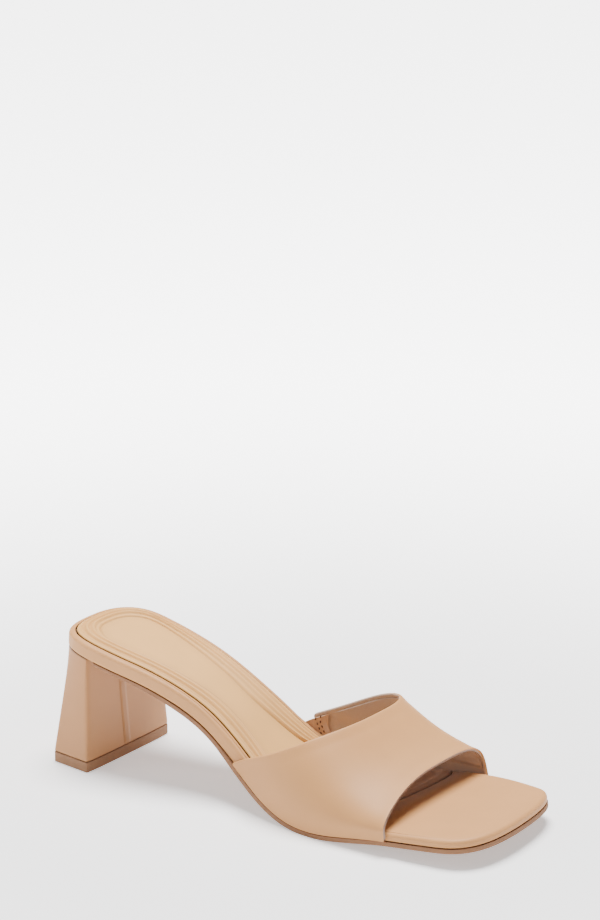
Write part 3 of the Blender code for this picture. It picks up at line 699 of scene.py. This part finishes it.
def make_sock():
    """Rings up the sock's edge, round its shoulder, over the border to the panel's outline and on to the
    spine. The border has soft ridges, and the panel's line is a groove at the foot of a smooth step."""
    outline = sock_outline(SOCK_POINTS)
    rows = np.array(SOCK_PANEL)
    halves = [spline(rows[:, 0] * SOLE_LENGTH, rows[:, k]) for k in (1, 2)]
    panel = pattern(PANEL_BACK, PANEL_FRONT, PANEL_BACK_END, PANEL_FRONT_ENDS, 0, SOCK_POINTS, halves)
    middle = spine(panel, PANEL_SPINE_REACH)
    under = towards(outline, spine(outline, PLATFORM_SPINE_REACH), (1, 0.5, 0))
    rings = [plate(flat, -SOCK_BED_DEPTH + GAP) for flat in under]
    # painted shade: full under the sock, then at its edge, in the grooves and in the ridges' valleys
    painted_shade = [1] * len(rings)
    for turn in range(0, 91, 15):
        drop, inset = quarter(SOCK_EDGE_ROUND, turn)
        rings.append(plate(shifted(outline, inset), SOCK_STAND - drop))
        painted_shade.append(SOCK_EDGE_SHADE * max(0, 1 - turn / SOCK_EDGE_SHADE_END))
    shoulder = shifted(outline, SOCK_EDGE_ROUND)
    near, far = CLOSE_RINGS
    for share in (*np.linspace(0, near, 30)[1:], *np.linspace(near, 1, 14)[1:]):
        left = np.linalg.norm(panel - shoulder, axis=1) * (1 - share)
        crown = SOCK_CROWN * smooth(share / SOCK_CROWN_RUN)
        rise, fall = smooth(share / SOCK_RIDGE_FADES[0]), smooth((1 - share) / SOCK_RIDGE_FADES[1])
        ridges = SOCK_RIDGE * np.sin(share * SOCK_RIDGES * 2 * math.pi) * rise * fall
        step = SOCK_DIP * (1 - smooth(left / SOCK_DIP_WIDTH))
        line = np.exp(-((left / SOCK_GROOVE_WIDTH) ** 2))
        height = SOCK_STAND + crown + ridges - step - SOCK_GROOVE * line
        rings.append(plate(shoulder + (panel - shoulder) * share, height))
        painted_shade.append(GROOVE_SHADE * line + RIDGE_SHADE * smooth(-ridges / SOCK_RIDGE))
    level = SOCK_STAND + SOCK_CROWN - SOCK_DIP
    for share in (*np.linspace(0, far, 8)[1:], *np.linspace(far, 1, 18)[1:]):
        inside = np.linalg.norm(middle - panel, axis=1) * share
        line = np.exp(-((inside / SOCK_GROOVE_WIDTH) ** 2))
        height = level + PANEL_RISE * smooth(share) - SOCK_GROOVE * line
        rings.append(plate(panel + (middle - panel) * share, height))
        painted_shade.append(GROOVE_SHADE * line + PANEL_SHADE * (1 - smooth(inside / PANEL_SHADE_WIDTH)))
    skin = leather("sock_cover_leather", SOCK_LEATHER, SOCK_ROUGHNESS, 0.0)
    paint_shade_under_strap(skin, SOCK_FRONT)
    return ring_stack("sock_cover", rings, skin, painted_shade=painted_shade)


sock = make_sock()
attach(sock, "root")
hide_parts("sock_pad")

# Strap
# The upper: one wide piece of smooth nude leather lasted over the forefoot, its top and toe edges folded
# over and its sides drawn down to the outsole. Its lining, of a rougher finish, stops under the folds; the
# lining and the leather's inner face take a darker, greyer copy of the leather's colour as painted shade.
INSTEP_HEIGHT = 0.0416
STRAP_FOOT_SET = 0.0013
STRAP_REAR_FEET = (0.1009, 0.0988)
STRAP_REAR_CROWN = 0.1548
STRAP_FRONT_FEET = (0.1932, 0.1922)
STRAP_FRONT_CROWN = 0.1868
STRAP_RIDGE_OFFSET = 0.0124
STRAP_BULGE = 0.0012
STRAP_SIDE_POWER = 0.67
STRAP_TOP_POWER = 0.89
STRAP_TOPLINE_POWER = 0.6
STRAP_FRONT_POWERS = (2.9, 0.86)
STRAP_CORNER = 0.0008
STRAP_SECTIONS = 221
STEP_ALONG = 2e-4
STEP_ROUND = 1e-3
LEAST_RATE = 0.3
GUSSET_SEAM = 0.1090
GUSSET_SLANT = 0.0060
SEAM_TOP_LIFT = 0.17
LEATHER_WALL = 0.0010
FOLD_WALL = 0.00145
FOLD_DEPTH = 0.0017
FOLD_STEP = 0.0004
# height, place in from the edge and width of the bead along the fold and of the valley beside it
FOLD_FORM = ((0.00010, 0.0016, 0.0014), (-0.00008, 0.0052, 0.0018))
# height of the drag waves, their turning along the shoe and round the vault, and where they begin
DRAG_WAVES = (0.00012, 95, 9)
DRAG_RUN = (0.008, 0.02)
# distances of the rows of points that follow an edge, and the rows between them
EDGE_ROWS = np.array((0, 0.2, 0.45, 0.75, 1.1, 1.5, 2.0, 2.7, 3.6, 4.8)) * 1e-3
MIDDLE_ROWS = 68
ROLL_ANGLES = np.radians(np.linspace(67.5, -67.5, 7))
SOFT_ROUGHNESS = 0.6
# painted shade: a darker, greyer copy of the nude leather's colour, for the lining and the strap leather's
# inner face
LINING_SHADE_COLOUR = (0.500, 0.370, 0.290)
LINING_GAP = 0.00002
LINING_WALL = 0.0008
LINING_START = 0.0020
LINING_FOOT = 0.080
LINING_SKIVE = 0.030
LINING_SKIVED_WALL = 0.1
# place along the shoe as a share of its plan length, crown over the feet as a share of INSTEP_HEIGHT
STRAP_CROWN = ((0.402, 1.379), (0.571, 1.364), (0.719, 0.670), (0.888, 0.304))
# how far the topline has risen, then how far forward it has run on the outer and on the inner side
STRAP_TOPLINE = ((0.00, 0.00, 0.00), (0.35, 0.22, 0.17), (0.70, 0.66, 0.60), (1.00, 1.00, 1.00))

crown_rows = np.array(STRAP_CROWN)
crown_height = spline(crown_rows[:, 0] * LINE_X[-1], crown_rows[:, 1] * INSTEP_HEIGHT)
topline_rows = np.array(STRAP_TOPLINE)
TOPLINE = [spline(topline_rows[:, 0], topline_rows[:, k]) for k in (1, 2)]


def foot_place(half, s):
    """Side place of a strap foot, square to the outline of the platform."""
    flare = (half(s + STEP_ROUND) - half(s - STEP_ROUND)) / (2 * STEP_ROUND)
    return half(s) + STRAP_FOOT_SET * np.sqrt(1 + flare**2)


def vault(x, turn):
    """The strap's outer face: x along the shoe from the back of the heel, turn 0 at the outer foot and 1
    at the inner. Each section rises straight beside the platform and leans in to a crown on the inner
    side, as a superellipse with its own powers for the side and the top."""
    x, turn = np.broadcast_arrays(np.asarray(x, float), np.asarray(turn, float))
    crown = crown_height(x)
    s = extend(x, LINE_X, LINE_S)
    outer, inner = -foot_place(OUTER_HALF, s), foot_place(INNER_HALF, s)
    lift = np.clip(np.sin(math.pi * turn), 0, 1)
    upright = ((platform_thickness(s) + GAP) / crown) ** (1 / STRAP_TOP_POWER)
    lean = np.clip((lift - upright) / (1 - upright), 0, 1)
    side = np.sign(turn - 0.5) * np.sqrt(1 - lean**2)
    reach = np.sign(side) * np.abs(side) ** STRAP_SIDE_POWER
    y = (outer + inner) / 2 + (inner - outer) / 2 * reach + STRAP_RIDGE_OFFSET * lean**2
    y = y - STRAP_BULGE * np.sin(2 * math.pi * turn)
    z = extend(x, LINE_X, LINE_Z) + crown * lift**STRAP_TOP_POWER
    return np.stack((x + HEEL_BACK_X, y + CENTRE_Y, z), -1)


def unit(v):
    return v / np.maximum(np.linalg.norm(v, axis=-1), 1e-12)[..., None]


def vault_normal(x, turn):
    """Outward normal of the vault, from steps along the shoe and round it."""
    ahead = vault(x + STEP_ALONG, turn) - vault(x - STEP_ALONG, turn)
    low, high = np.maximum(turn - STEP_ROUND, 0), np.minimum(turn + STEP_ROUND, 1)
    round_it = vault(x, high) - vault(x, low)
    return unit(np.cross(ahead, round_it))


def topline(turn):
    """Place of the topline: from each foot up and forward to the crown."""
    rise = np.clip(np.sin(math.pi * turn), 0, 1) ** STRAP_TOPLINE_POWER
    lines = [foot + (STRAP_REAR_CROWN - foot) * TOPLINE[k](rise) for k, foot in enumerate(STRAP_REAR_FEET)]
    return np.where(turn < 0.5, *lines)


def seam_line(turn):
    """Place of the gusset's seam, which slants forward from the topline down to the inner foot."""
    lift = np.clip(np.sin(math.pi * turn), 0, SEAM_TOP_LIFT)
    return GUSSET_SEAM + GUSSET_SLANT * (1 - lift / SEAM_TOP_LIFT)


def foremost(line, seam):
    """The further forward of two lines, with a small round corner where they cross."""
    return (line + seam + np.sqrt((line - seam) ** 2 + STRAP_CORNER**2)) / 2


def rear_edge(turn):
    """The leather's rear edge: the topline, cut at the gusset's seam."""
    line = topline(turn)
    return np.where(turn < 0.5, line, foremost(line, seam_line(turn)))


def front_edge(turn):
    """The edge over the toes, which falls back a little towards the crown."""
    lift = np.clip(np.sin(math.pi * turn), 0, 1)
    lines = [
        foot + (STRAP_FRONT_CROWN - foot) * lift**power
        for foot, power in zip(STRAP_FRONT_FEET, STRAP_FRONT_POWERS)
    ]
    return np.where(turn < 0.5, *lines)


def edge_frame(edge, turn):
    """Normal, inward direction in the surface, and x for each metre inwards, along one edge."""
    x = edge(turn)
    low, high = np.maximum(turn - STEP_ROUND, 0), np.minimum(turn + STEP_ROUND, 1)
    along = unit(vault(edge(high), high) - vault(edge(low), low))
    normal = vault_normal(x, turn)
    ahead = (vault(x + STEP_ALONG, turn) - vault(x - STEP_ALONG, turn)) / (2 * STEP_ALONG)
    inward = unit(np.cross(normal, along))
    speed = (ahead * inward).sum(-1)
    return normal, inward * np.sign(speed)[..., None], 1 / np.maximum(np.abs(speed), LEAST_RATE)


def shell(name, turns, rear, front, depth, wall, relief, material, inside=None):
    """A sheet of the vault between two edges, as a closed section swept from foot to foot.

    depth is how far the outer face lies under the vault, wall the thickness by distance from the edge,
    and relief an extra height of the outer face. inside is the material of the inner face.
    """
    rear_normal, rear_in, rear_rate = edge_frame(rear, turns)
    front_normal, front_in, front_rate = edge_frame(front, turns)
    half_wall = wall(0 * turns) / 2
    rear_x = [rear(turns) + (half_wall + d) * rear_rate for d in EDGE_ROWS]
    front_x = [front(turns) - (half_wall + d) * front_rate for d in EDGE_ROWS[::-1]]
    middle_x = towards(rear_x[-1], front_x[0], np.linspace(0, 1, MIDDLE_ROWS + 2)[1:-1])
    xs = np.array(rear_x + middle_x + front_x)
    distance = np.minimum((xs - rear(turns)) / rear_rate, (front(turns) - xs) / front_rate)
    outer, inner = [], []
    for x, d in zip(xs, distance):
        normal = vault_normal(x, turns)
        face = vault(x, turns)
        outer.append(face + normal * (relief(x, turns, d) - depth)[:, None])
        inner.append(face - normal * (depth + wall(d))[:, None])
    rolls = []
    for x, normal, inward in ((xs[-1], front_normal, front_in), (xs[0], rear_normal, rear_in)):
        centre = vault(x, turns) - normal * (depth + half_wall)[:, None]
        rolls.append([
            centre + half_wall[:, None] * (normal * math.sin(a) - inward * math.cos(a))
            for a in ROLL_ANGLES
        ])
    loop = outer + rolls[0] + inner[::-1] + rolls[1][::-1]
    points = np.array(loop).transpose(1, 0, 2)
    size = len(loop)
    faces = tube_faces(len(turns), size)
    rows = len(outer)
    inner_at = [size - len(rolls[1]) - 1 - k for k in range(rows)]
    for base, flip in ((0, 1), ((len(turns) - 1) * size, -1)):
        for k in range(rows - 1):
            quad = [base + k, base + k + 1, base + inner_at[k + 1], base + inner_at[k]]
            faces.append(quad[::flip])
        front_cap = [base + rows - 1 + k for k in range(len(rolls[0]) + 2)]
        rear_cap = [base + inner_at[0] + k for k in range(len(rolls[1]) + 1)] + [base]
        faces += [front_cap[::flip], rear_cap[::flip]]
    second = None
    if inside:
        mark = np.zeros(size)
        mark[rows + len(rolls[0]) // 2 : size - len(rolls[1]) // 2 - 1] = 1
        marks = np.tile(mark, len(turns) - 1)
        second = inside, np.concatenate((marks, np.zeros(len(faces) - len(marks))))
    return add_mesh(name, points.reshape(-1, 3), faces, material, 60, second=second)


def fold_wall(d):
    """Leather wall by distance from the edge: doubled in the fold, then one layer."""
    return LEATHER_WALL + (FOLD_WALL - LEATHER_WALL) * (1 - ramp(np.asarray(d), FOLD_DEPTH, FOLD_STEP))


def lining_top(turn):
    """The lining's upper edge, a little way in from the topline."""
    return topline(turn) + LINING_START * edge_frame(topline, turn)[2]


def lining_rear(turn):
    """The lining's rear edge: its upper edge, cut under the gusset near the seam."""
    line = lining_top(turn)
    return np.where(turn < 0.5, line, foremost(line, seam_line(turn) + LINING_START / 2))


def lining_front(turn):
    """The lining's front edge, a little way in from the edge over the toes."""
    return front_edge(turn) - LINING_START * edge_frame(front_edge, turn)[2]


def strap_relief(x, turn, d):
    """Very soft form of drawn leather: a bead along the fold, and broad, shallow drag waves."""
    fold = sum(height * np.exp(-(((d - place) / width) ** 2)) for height, place, width in FOLD_FORM)
    height, ahead, round_it = DRAG_WAVES
    drag = height * np.sin(ahead * x + round_it * turn) * np.sin(math.pi * turn) ** 2 * ramp(d, *DRAG_RUN)
    return fold + drag


def make_strap():
    """The leather shell, and the lining inside it from one edge of the platform's top to the other."""
    turns = (1 - np.cos(math.pi * np.linspace(0, 1, STRAP_SECTIONS))) / 2
    skin = leather("strap_leather", NUDE_LEATHER, LEATHER_ROUGHNESS)
    # painted shade: this darker, greyer colour goes on the lining and on the leather's inner face
    shaded = leather("lining_painted_shade", LINING_SHADE_COLOUR, SOFT_ROUGHNESS, 0.0)
    outside = shell("strap_skin", turns, rear_edge, front_edge, 0, fold_wall, strap_relief, skin, shaded)
    low = LINING_FOOT + (1 - 2 * LINING_FOOT) * turns
    up = smooth((0.5 - np.abs(low - 0.5) - LINING_FOOT) / LINING_SKIVE)
    wall = LINING_WALL * (LINING_SKIVED_WALL + (1 - LINING_SKIVED_WALL) * up)
    inside = shell(
        "strap_lining", low, lining_rear, lining_front, LEATHER_WALL + LINING_GAP,
        lambda d: wall + 0 * d, lambda x, turn, d: 0 * x, shaded,
    )
    return outside, inside


strap, lining = make_strap()
for piece in (strap, lining):
    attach(piece, "root")
    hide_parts("strap")

# Gusset
# A short elastic tab faced with lining leather, which carries the strap's inner rear corner down to the
# footbed. It is sewn inside the strap with a double row of dark thread.
GUSSET_OVERLAP = 0.0070
GUSSET_THICKNESS = 0.0010
GUSSET_DEPTH = 0.0018
GUSSET_EDGE_DEPTH = 0.00185
GUSSET_EDGE_THICKNESS = 0.00012
GUSSET_SKIVE = 0.003
GUSSET_BEVEL = 0.0002
GUSSET_SINK = 0.0004
GUSSET_GRID = (25, 37)
GUSSET_COLOUR = (0.550, 0.355, 0.235)
THREAD_COLOUR = (0.085, 0.040, 0.024)
STITCH_ROWS = (0.0016, 0.0037)
STITCH_PITCH = 0.0024
STITCH_LENGTH = 0.0014
STITCH_RADIUS = 0.00032
STITCH_SIDES = 10
STITCH_TOP_GAP = 0.0004
# how far the first and the last stitch stand off the row's ends, as shares of the pitch
STITCH_ENDS = (0.6, 0.5)
THREAD_ROUGHNESS = 0.7


def gusset_ends():
    """Turns of the gusset's lowest line, on the platform's rim, and of its highest, where the lining's upper
    edge meets the tab's front end."""
    rim = (platform_thickness(GUSSET_SEAM) - GUSSET_SINK) / crown_height(GUSSET_SEAM)
    low = 1 - math.asin(rim ** (1 / STRAP_TOP_POWER)) / math.pi
    turns = np.linspace(0.5, 1, 800)
    high = np.interp(0, seam_line(turns) + GUSSET_OVERLAP - lining_top(turns), turns)
    return low, high


def make_gusset():
    """A slab under the vault between its two lines, from the topline to the overlap, edges bevelled."""
    rows, columns = GUSSET_GRID
    turn = np.linspace(*gusset_ends(), columns)[None] + np.zeros((rows, 1))
    along = np.linspace(0, 1, rows)[:, None]
    end = seam_line(turn) + GUSSET_OVERLAP
    x = lining_top(turn) * (1 - along) + end * along
    face, normal = vault(x, turn), vault_normal(x, turn)
    skived = smooth((end - x) / GUSSET_SKIVE)[..., None]
    under = GUSSET_EDGE_DEPTH + (GUSSET_DEPTH - GUSSET_EDGE_DEPTH) * skived
    wall = GUSSET_EDGE_THICKNESS + (GUSSET_THICKNESS - GUSSET_EDGE_THICKNESS) * skived
    layers = [(face - normal * d).reshape(-1, 3) for d in (under, under + wall)]
    count = rows * columns
    grid = np.arange(count).reshape(rows, columns)
    quads = np.stack((grid[:-1, :-1], grid[1:, :-1], grid[1:, 1:], grid[:-1, 1:]), -1).reshape(-1, 4)
    faces = quads.tolist() + (quads[:, ::-1] + count).tolist()
    border = np.concatenate((grid[0, :-1], grid[:-1, -1], grid[-1, :0:-1], grid[:0:-1, 0]))
    following = np.roll(border, -1)
    faces += np.stack((border, following, following + count, border + count), -1).tolist()
    material = leather("gusset_leather", GUSSET_COLOUR, SOFT_ROUGHNESS, 0.0)
    made = add_mesh("gusset_tab", np.concatenate(layers), faces, material, 60)
    bevel = made.modifiers.new("edge", "BEVEL")
    bevel.width = GUSSET_BEVEL
    bevel.segments = 3
    bevel.limit_method = "ANGLE"
    bevel.angle_limit = math.radians(50)
    return made


def make_stitches():
    """Short round-ended threads along both rows, on the gusset's inner face and on the leather outside."""
    latitudes = np.radians(np.linspace(-90, 90, 9))
    longitudes = np.linspace(0, 2 * math.pi, STITCH_SIDES + 1)[:-1]
    lat, lon = np.meshgrid(latitudes, longitudes, indexing="ij")
    length = (np.sin(lat) * STITCH_LENGTH / 2)[..., None]
    height = (np.cos(lat) * STITCH_RADIUS * np.cos(lon))[..., None]
    width = (np.cos(lat) * STITCH_RADIUS * np.sin(lon))[..., None]
    first, last = STITCH_ENDS
    inner = GUSSET_DEPTH + GUSSET_THICKNESS
    points, faces = [], []
    for row in STITCH_ROWS:
        turns = np.linspace(*gusset_ends(), 400)
        turns = turns[seam_line(turns) + row > topline(turns) + STITCH_TOP_GAP]
        x = seam_line(turns) + row
        on_fold = smooth((lining_top(turns) + STITCH_TOP_GAP / 2 - x) / STITCH_TOP_GAP)
        for depth, sign in ((inner + (FOLD_WALL - inner) * on_fold, -1), (0 * x, 1)):
            normal = vault_normal(x, turns)
            line = vault(x, turns) - normal * depth[:, None]
            run = np.concatenate(([0], np.cumsum(np.linalg.norm(np.diff(line, axis=0), axis=1))))

            def read(values, at):
                return np.array([np.interp(at, run, values[:, k]) for k in range(3)])

            for at in np.arange(STITCH_PITCH * first, run[-1] - STITCH_PITCH * last, STITCH_PITCH):
                centre = read(line, at)
                out = unit(read(normal, at)) * sign
                ahead = read(line, at + STITCH_TOP_GAP) - centre
                ahead = unit(ahead - out * (ahead @ out))
                places = centre + ahead * length + out * height + np.cross(out, ahead) * width
                base = len(points) * lat.size
                points.append(places.reshape(-1, 3))
                faces += (np.array(tube_faces(*lat.shape)) + base).tolist()
    material = plain_material("thread", THREAD_COLOUR, THREAD_ROUGHNESS)[0]
    return add_mesh("gusset_stitches", np.concatenate(points), faces, material, 80)


gusset = make_gusset()
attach(gusset, "root")
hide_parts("gusset")
stitches = make_stitches()
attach(stitches, "root")

# Heel
# A flared plastic block under one wrap of the same nude leather, drawn round from the back and lapped in
# a soft vertical seam down the middle of the breast.
HEEL_LIFT_THICKNESS = 0.0050
HEEL_SEAT_INSET = 0.0003
HEEL_BASE_WIDTH = 0.0638
HEEL_BASE_BACK_WIDTH = 0.0552
HEEL_BASE_DEPTH = 0.0243
HEEL_BASE_BACK_END = (0.0024, 3.0)
HEEL_BREAST_ENDS = ((0.0014, 3.0),) * 2
HEEL_POINTS = (50, 44, 60)
HEEL_LEVELS = 58
HEEL_SPINE_REACH = 0.008
# painted shade on the heel's end rings, where it meets the lift and the platform
HEEL_END_SHADE = 0.8
HEEL_TUCK = 0.0004
HEEL_TUCK_SHARE = 0.3
# where the lap of the seam lies on the breast, how far it wanders and how fast, from the base upwards
HEEL_SEAM_SIDE = -0.0040
HEEL_SEAM_WANDER = (0.0010, 2.2)
# the lap's step out of the breast, the share of it that the breast sinks, and widths of step, lap and fade
HEEL_SEAM_STEP = 0.00045
HEEL_SEAM_SINK = 0.4
HEEL_STEP_WIDTH = 0.0005
HEEL_LAP_WIDTH = 0.0026
HEEL_LAP_FADE = 0.0024
# painted shade in the seam's line, with its place and width, and darkening on the lap, with the width of its
# fade
HEEL_LINE_SHADE = (0.25, -0.0003, 0.0004)
HEEL_LAP_TONE = (0.14, 0.0010)
BREAST_START = 0.0006
# the nude leather's colour made darker for the heel wrap, as painted shade
HEEL_LEATHER = (0.500, 0.242, 0.100)


def base_half(x):
    """Half width of the heel's foot, wider at the breast than at the back."""
    share = (x - HEEL_BASE_SETBACK) / HEEL_BASE_DEPTH
    return (HEEL_BASE_BACK_WIDTH + (HEEL_BASE_WIDTH - HEEL_BASE_BACK_WIDTH) * share) / 2


def base_outline(inset=0.0):
    """The heel's foot on the floor, a trapezoid with rounded corners, as pattern points. An inset draws
    all four sides in and keeps the corners round."""
    back, front = HEEL_BASE_SETBACK + inset, HEEL_BASE_SETBACK + HEEL_BASE_DEPTH - inset
    halves = (lambda x: base_half(x) - inset,) * 2
    ring = pattern(back, front, HEEL_BASE_BACK_END, HEEL_BREAST_ENDS, 0, HEEL_POINTS, halves)
    return ring + (0, HEEL_BASE_OFFSET)


def at_height(outline, z):
    """Flat points of the heel's foot in the part's frame."""
    return np.column_stack((outline + (HEEL_BACK_X, CENTRE_Y), np.full(len(outline), z)))


def make_heel():
    """Rings from the base up to the seat, which bends along the sole line, with the lapped seam as a low
    step across the breast."""
    outline = base_outline()
    seat = pattern(0, HEEL_SEAT_DEPTH, HEEL_END, HEEL_BREAST_ENDS, 0, HEEL_POINTS)
    seat = shifted(seat, HEEL_SEAT_INSET)
    bottom = HEEL_LIFT_THICKNESS + GAP
    rise = HEEL_HEIGHT - bottom
    base, top = at_height(outline, bottom), on_plate(seat, -GAP)
    rings = [at_height(spine(outline, HEEL_SPINE_REACH), bottom)]
    rings.append(at_height(shifted(outline, HEEL_TUCK), bottom))
    painted_shade = [HEEL_END_SHADE] * 2
    tuck = at_height(shifted(outline, HEEL_TUCK * HEEL_TUCK_SHARE), bottom)
    even_levels = np.linspace(0, 1, HEEL_LEVELS + 2)[1:-1] * rise
    levels = np.sort((HEEL_TUCK * HEEL_TUCK_SHARE, HEEL_TUCK, *even_levels)) / rise
    front = HEEL_BASE_SETBACK + HEEL_BASE_DEPTH
    on_breast = ramp(outline[:, 0], front - BREAST_START, HEEL_STEP_WIDTH)
    wander, bends = HEEL_SEAM_WANDER
    line_shade, line_side, line_width = HEEL_LINE_SHADE
    lap_tone, lap_fade = HEEL_LAP_TONE
    for level in levels:
        ring = base + (top - base) * level
        side = ring[:, 1] - CENTRE_Y - HEEL_SEAM_SIDE + wander * math.sin(level * bends)
        lap = smooth(side / HEEL_STEP_WIDTH + 0.5) * (1 - ramp(side, HEEL_LAP_WIDTH, HEEL_LAP_FADE))
        ring[:, 0] += HEEL_SEAM_STEP * on_breast * (lap - HEEL_SEAM_SINK)
        line = line_shade * np.exp(-(((side - line_side) / line_width) ** 2))
        band = lap_tone * smooth(side / HEEL_STEP_WIDTH) * (1 - ramp(side, HEEL_LAP_WIDTH, lap_fade))
        painted_shade.append(on_breast * (line + band))
        if level * rise < 1.1 * HEEL_TUCK:
            ring[:, :2] = tuck[:, :2]
        rings.append(ring)
    rings += [top, on_plate(spine(seat, HEEL_SPINE_REACH), -GAP)]
    painted_shade += [HEEL_END_SHADE] * 2
    skin = leather("heel_leather", HEEL_LEATHER, LEATHER_ROUGHNESS)
    return ring_stack("heel_wrap", rings, skin, 60, painted_shade)


heel = make_heel()
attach(heel, "root")
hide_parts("heel")

# Heel lift
# The top piece that treads on the floor: a moulded brown rubber plate, pinned under the heel, with its
# edges just broken and a shallow field moulded into its tread.
LIFT_COLOUR = (0.300, 0.158, 0.082)
LIFT_EDGE = 0.0003
LIFT_BORDER = 0.0028
LIFT_FIELD_DEPTH = 0.0003


def make_lift():
    """Rings from the tread's spine out over a shallow field, up the side and in over the top."""
    outline = base_outline()
    middle, broken = spine(outline, HEEL_SPINE_REACH), shifted(outline, LIFT_EDGE)
    field = base_outline(LIFT_BORDER + LIFT_FIELD_DEPTH)
    sides = [(outline, HEEL_LIFT_THICKNESS * share) for share in (0.35, 0.65)]
    profile = [
        (middle, LIFT_FIELD_DEPTH),
        (field, LIFT_FIELD_DEPTH),
        (base_outline(LIFT_BORDER), 0),
        (broken, 0),
        (outline, LIFT_EDGE),
        *sides,
        (outline, HEEL_LIFT_THICKNESS - LIFT_EDGE),
        (broken, HEEL_LIFT_THICKNESS),
        (middle, HEEL_LIFT_THICKNESS),
    ]
    rings = [at_height(flat, z) for flat, z in profile]
    return ring_stack("lift_plate", rings, rubber("lift_rubber", LIFT_COLOUR), 40)


lift = make_lift()
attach(lift, "root")
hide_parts("heel_lift")
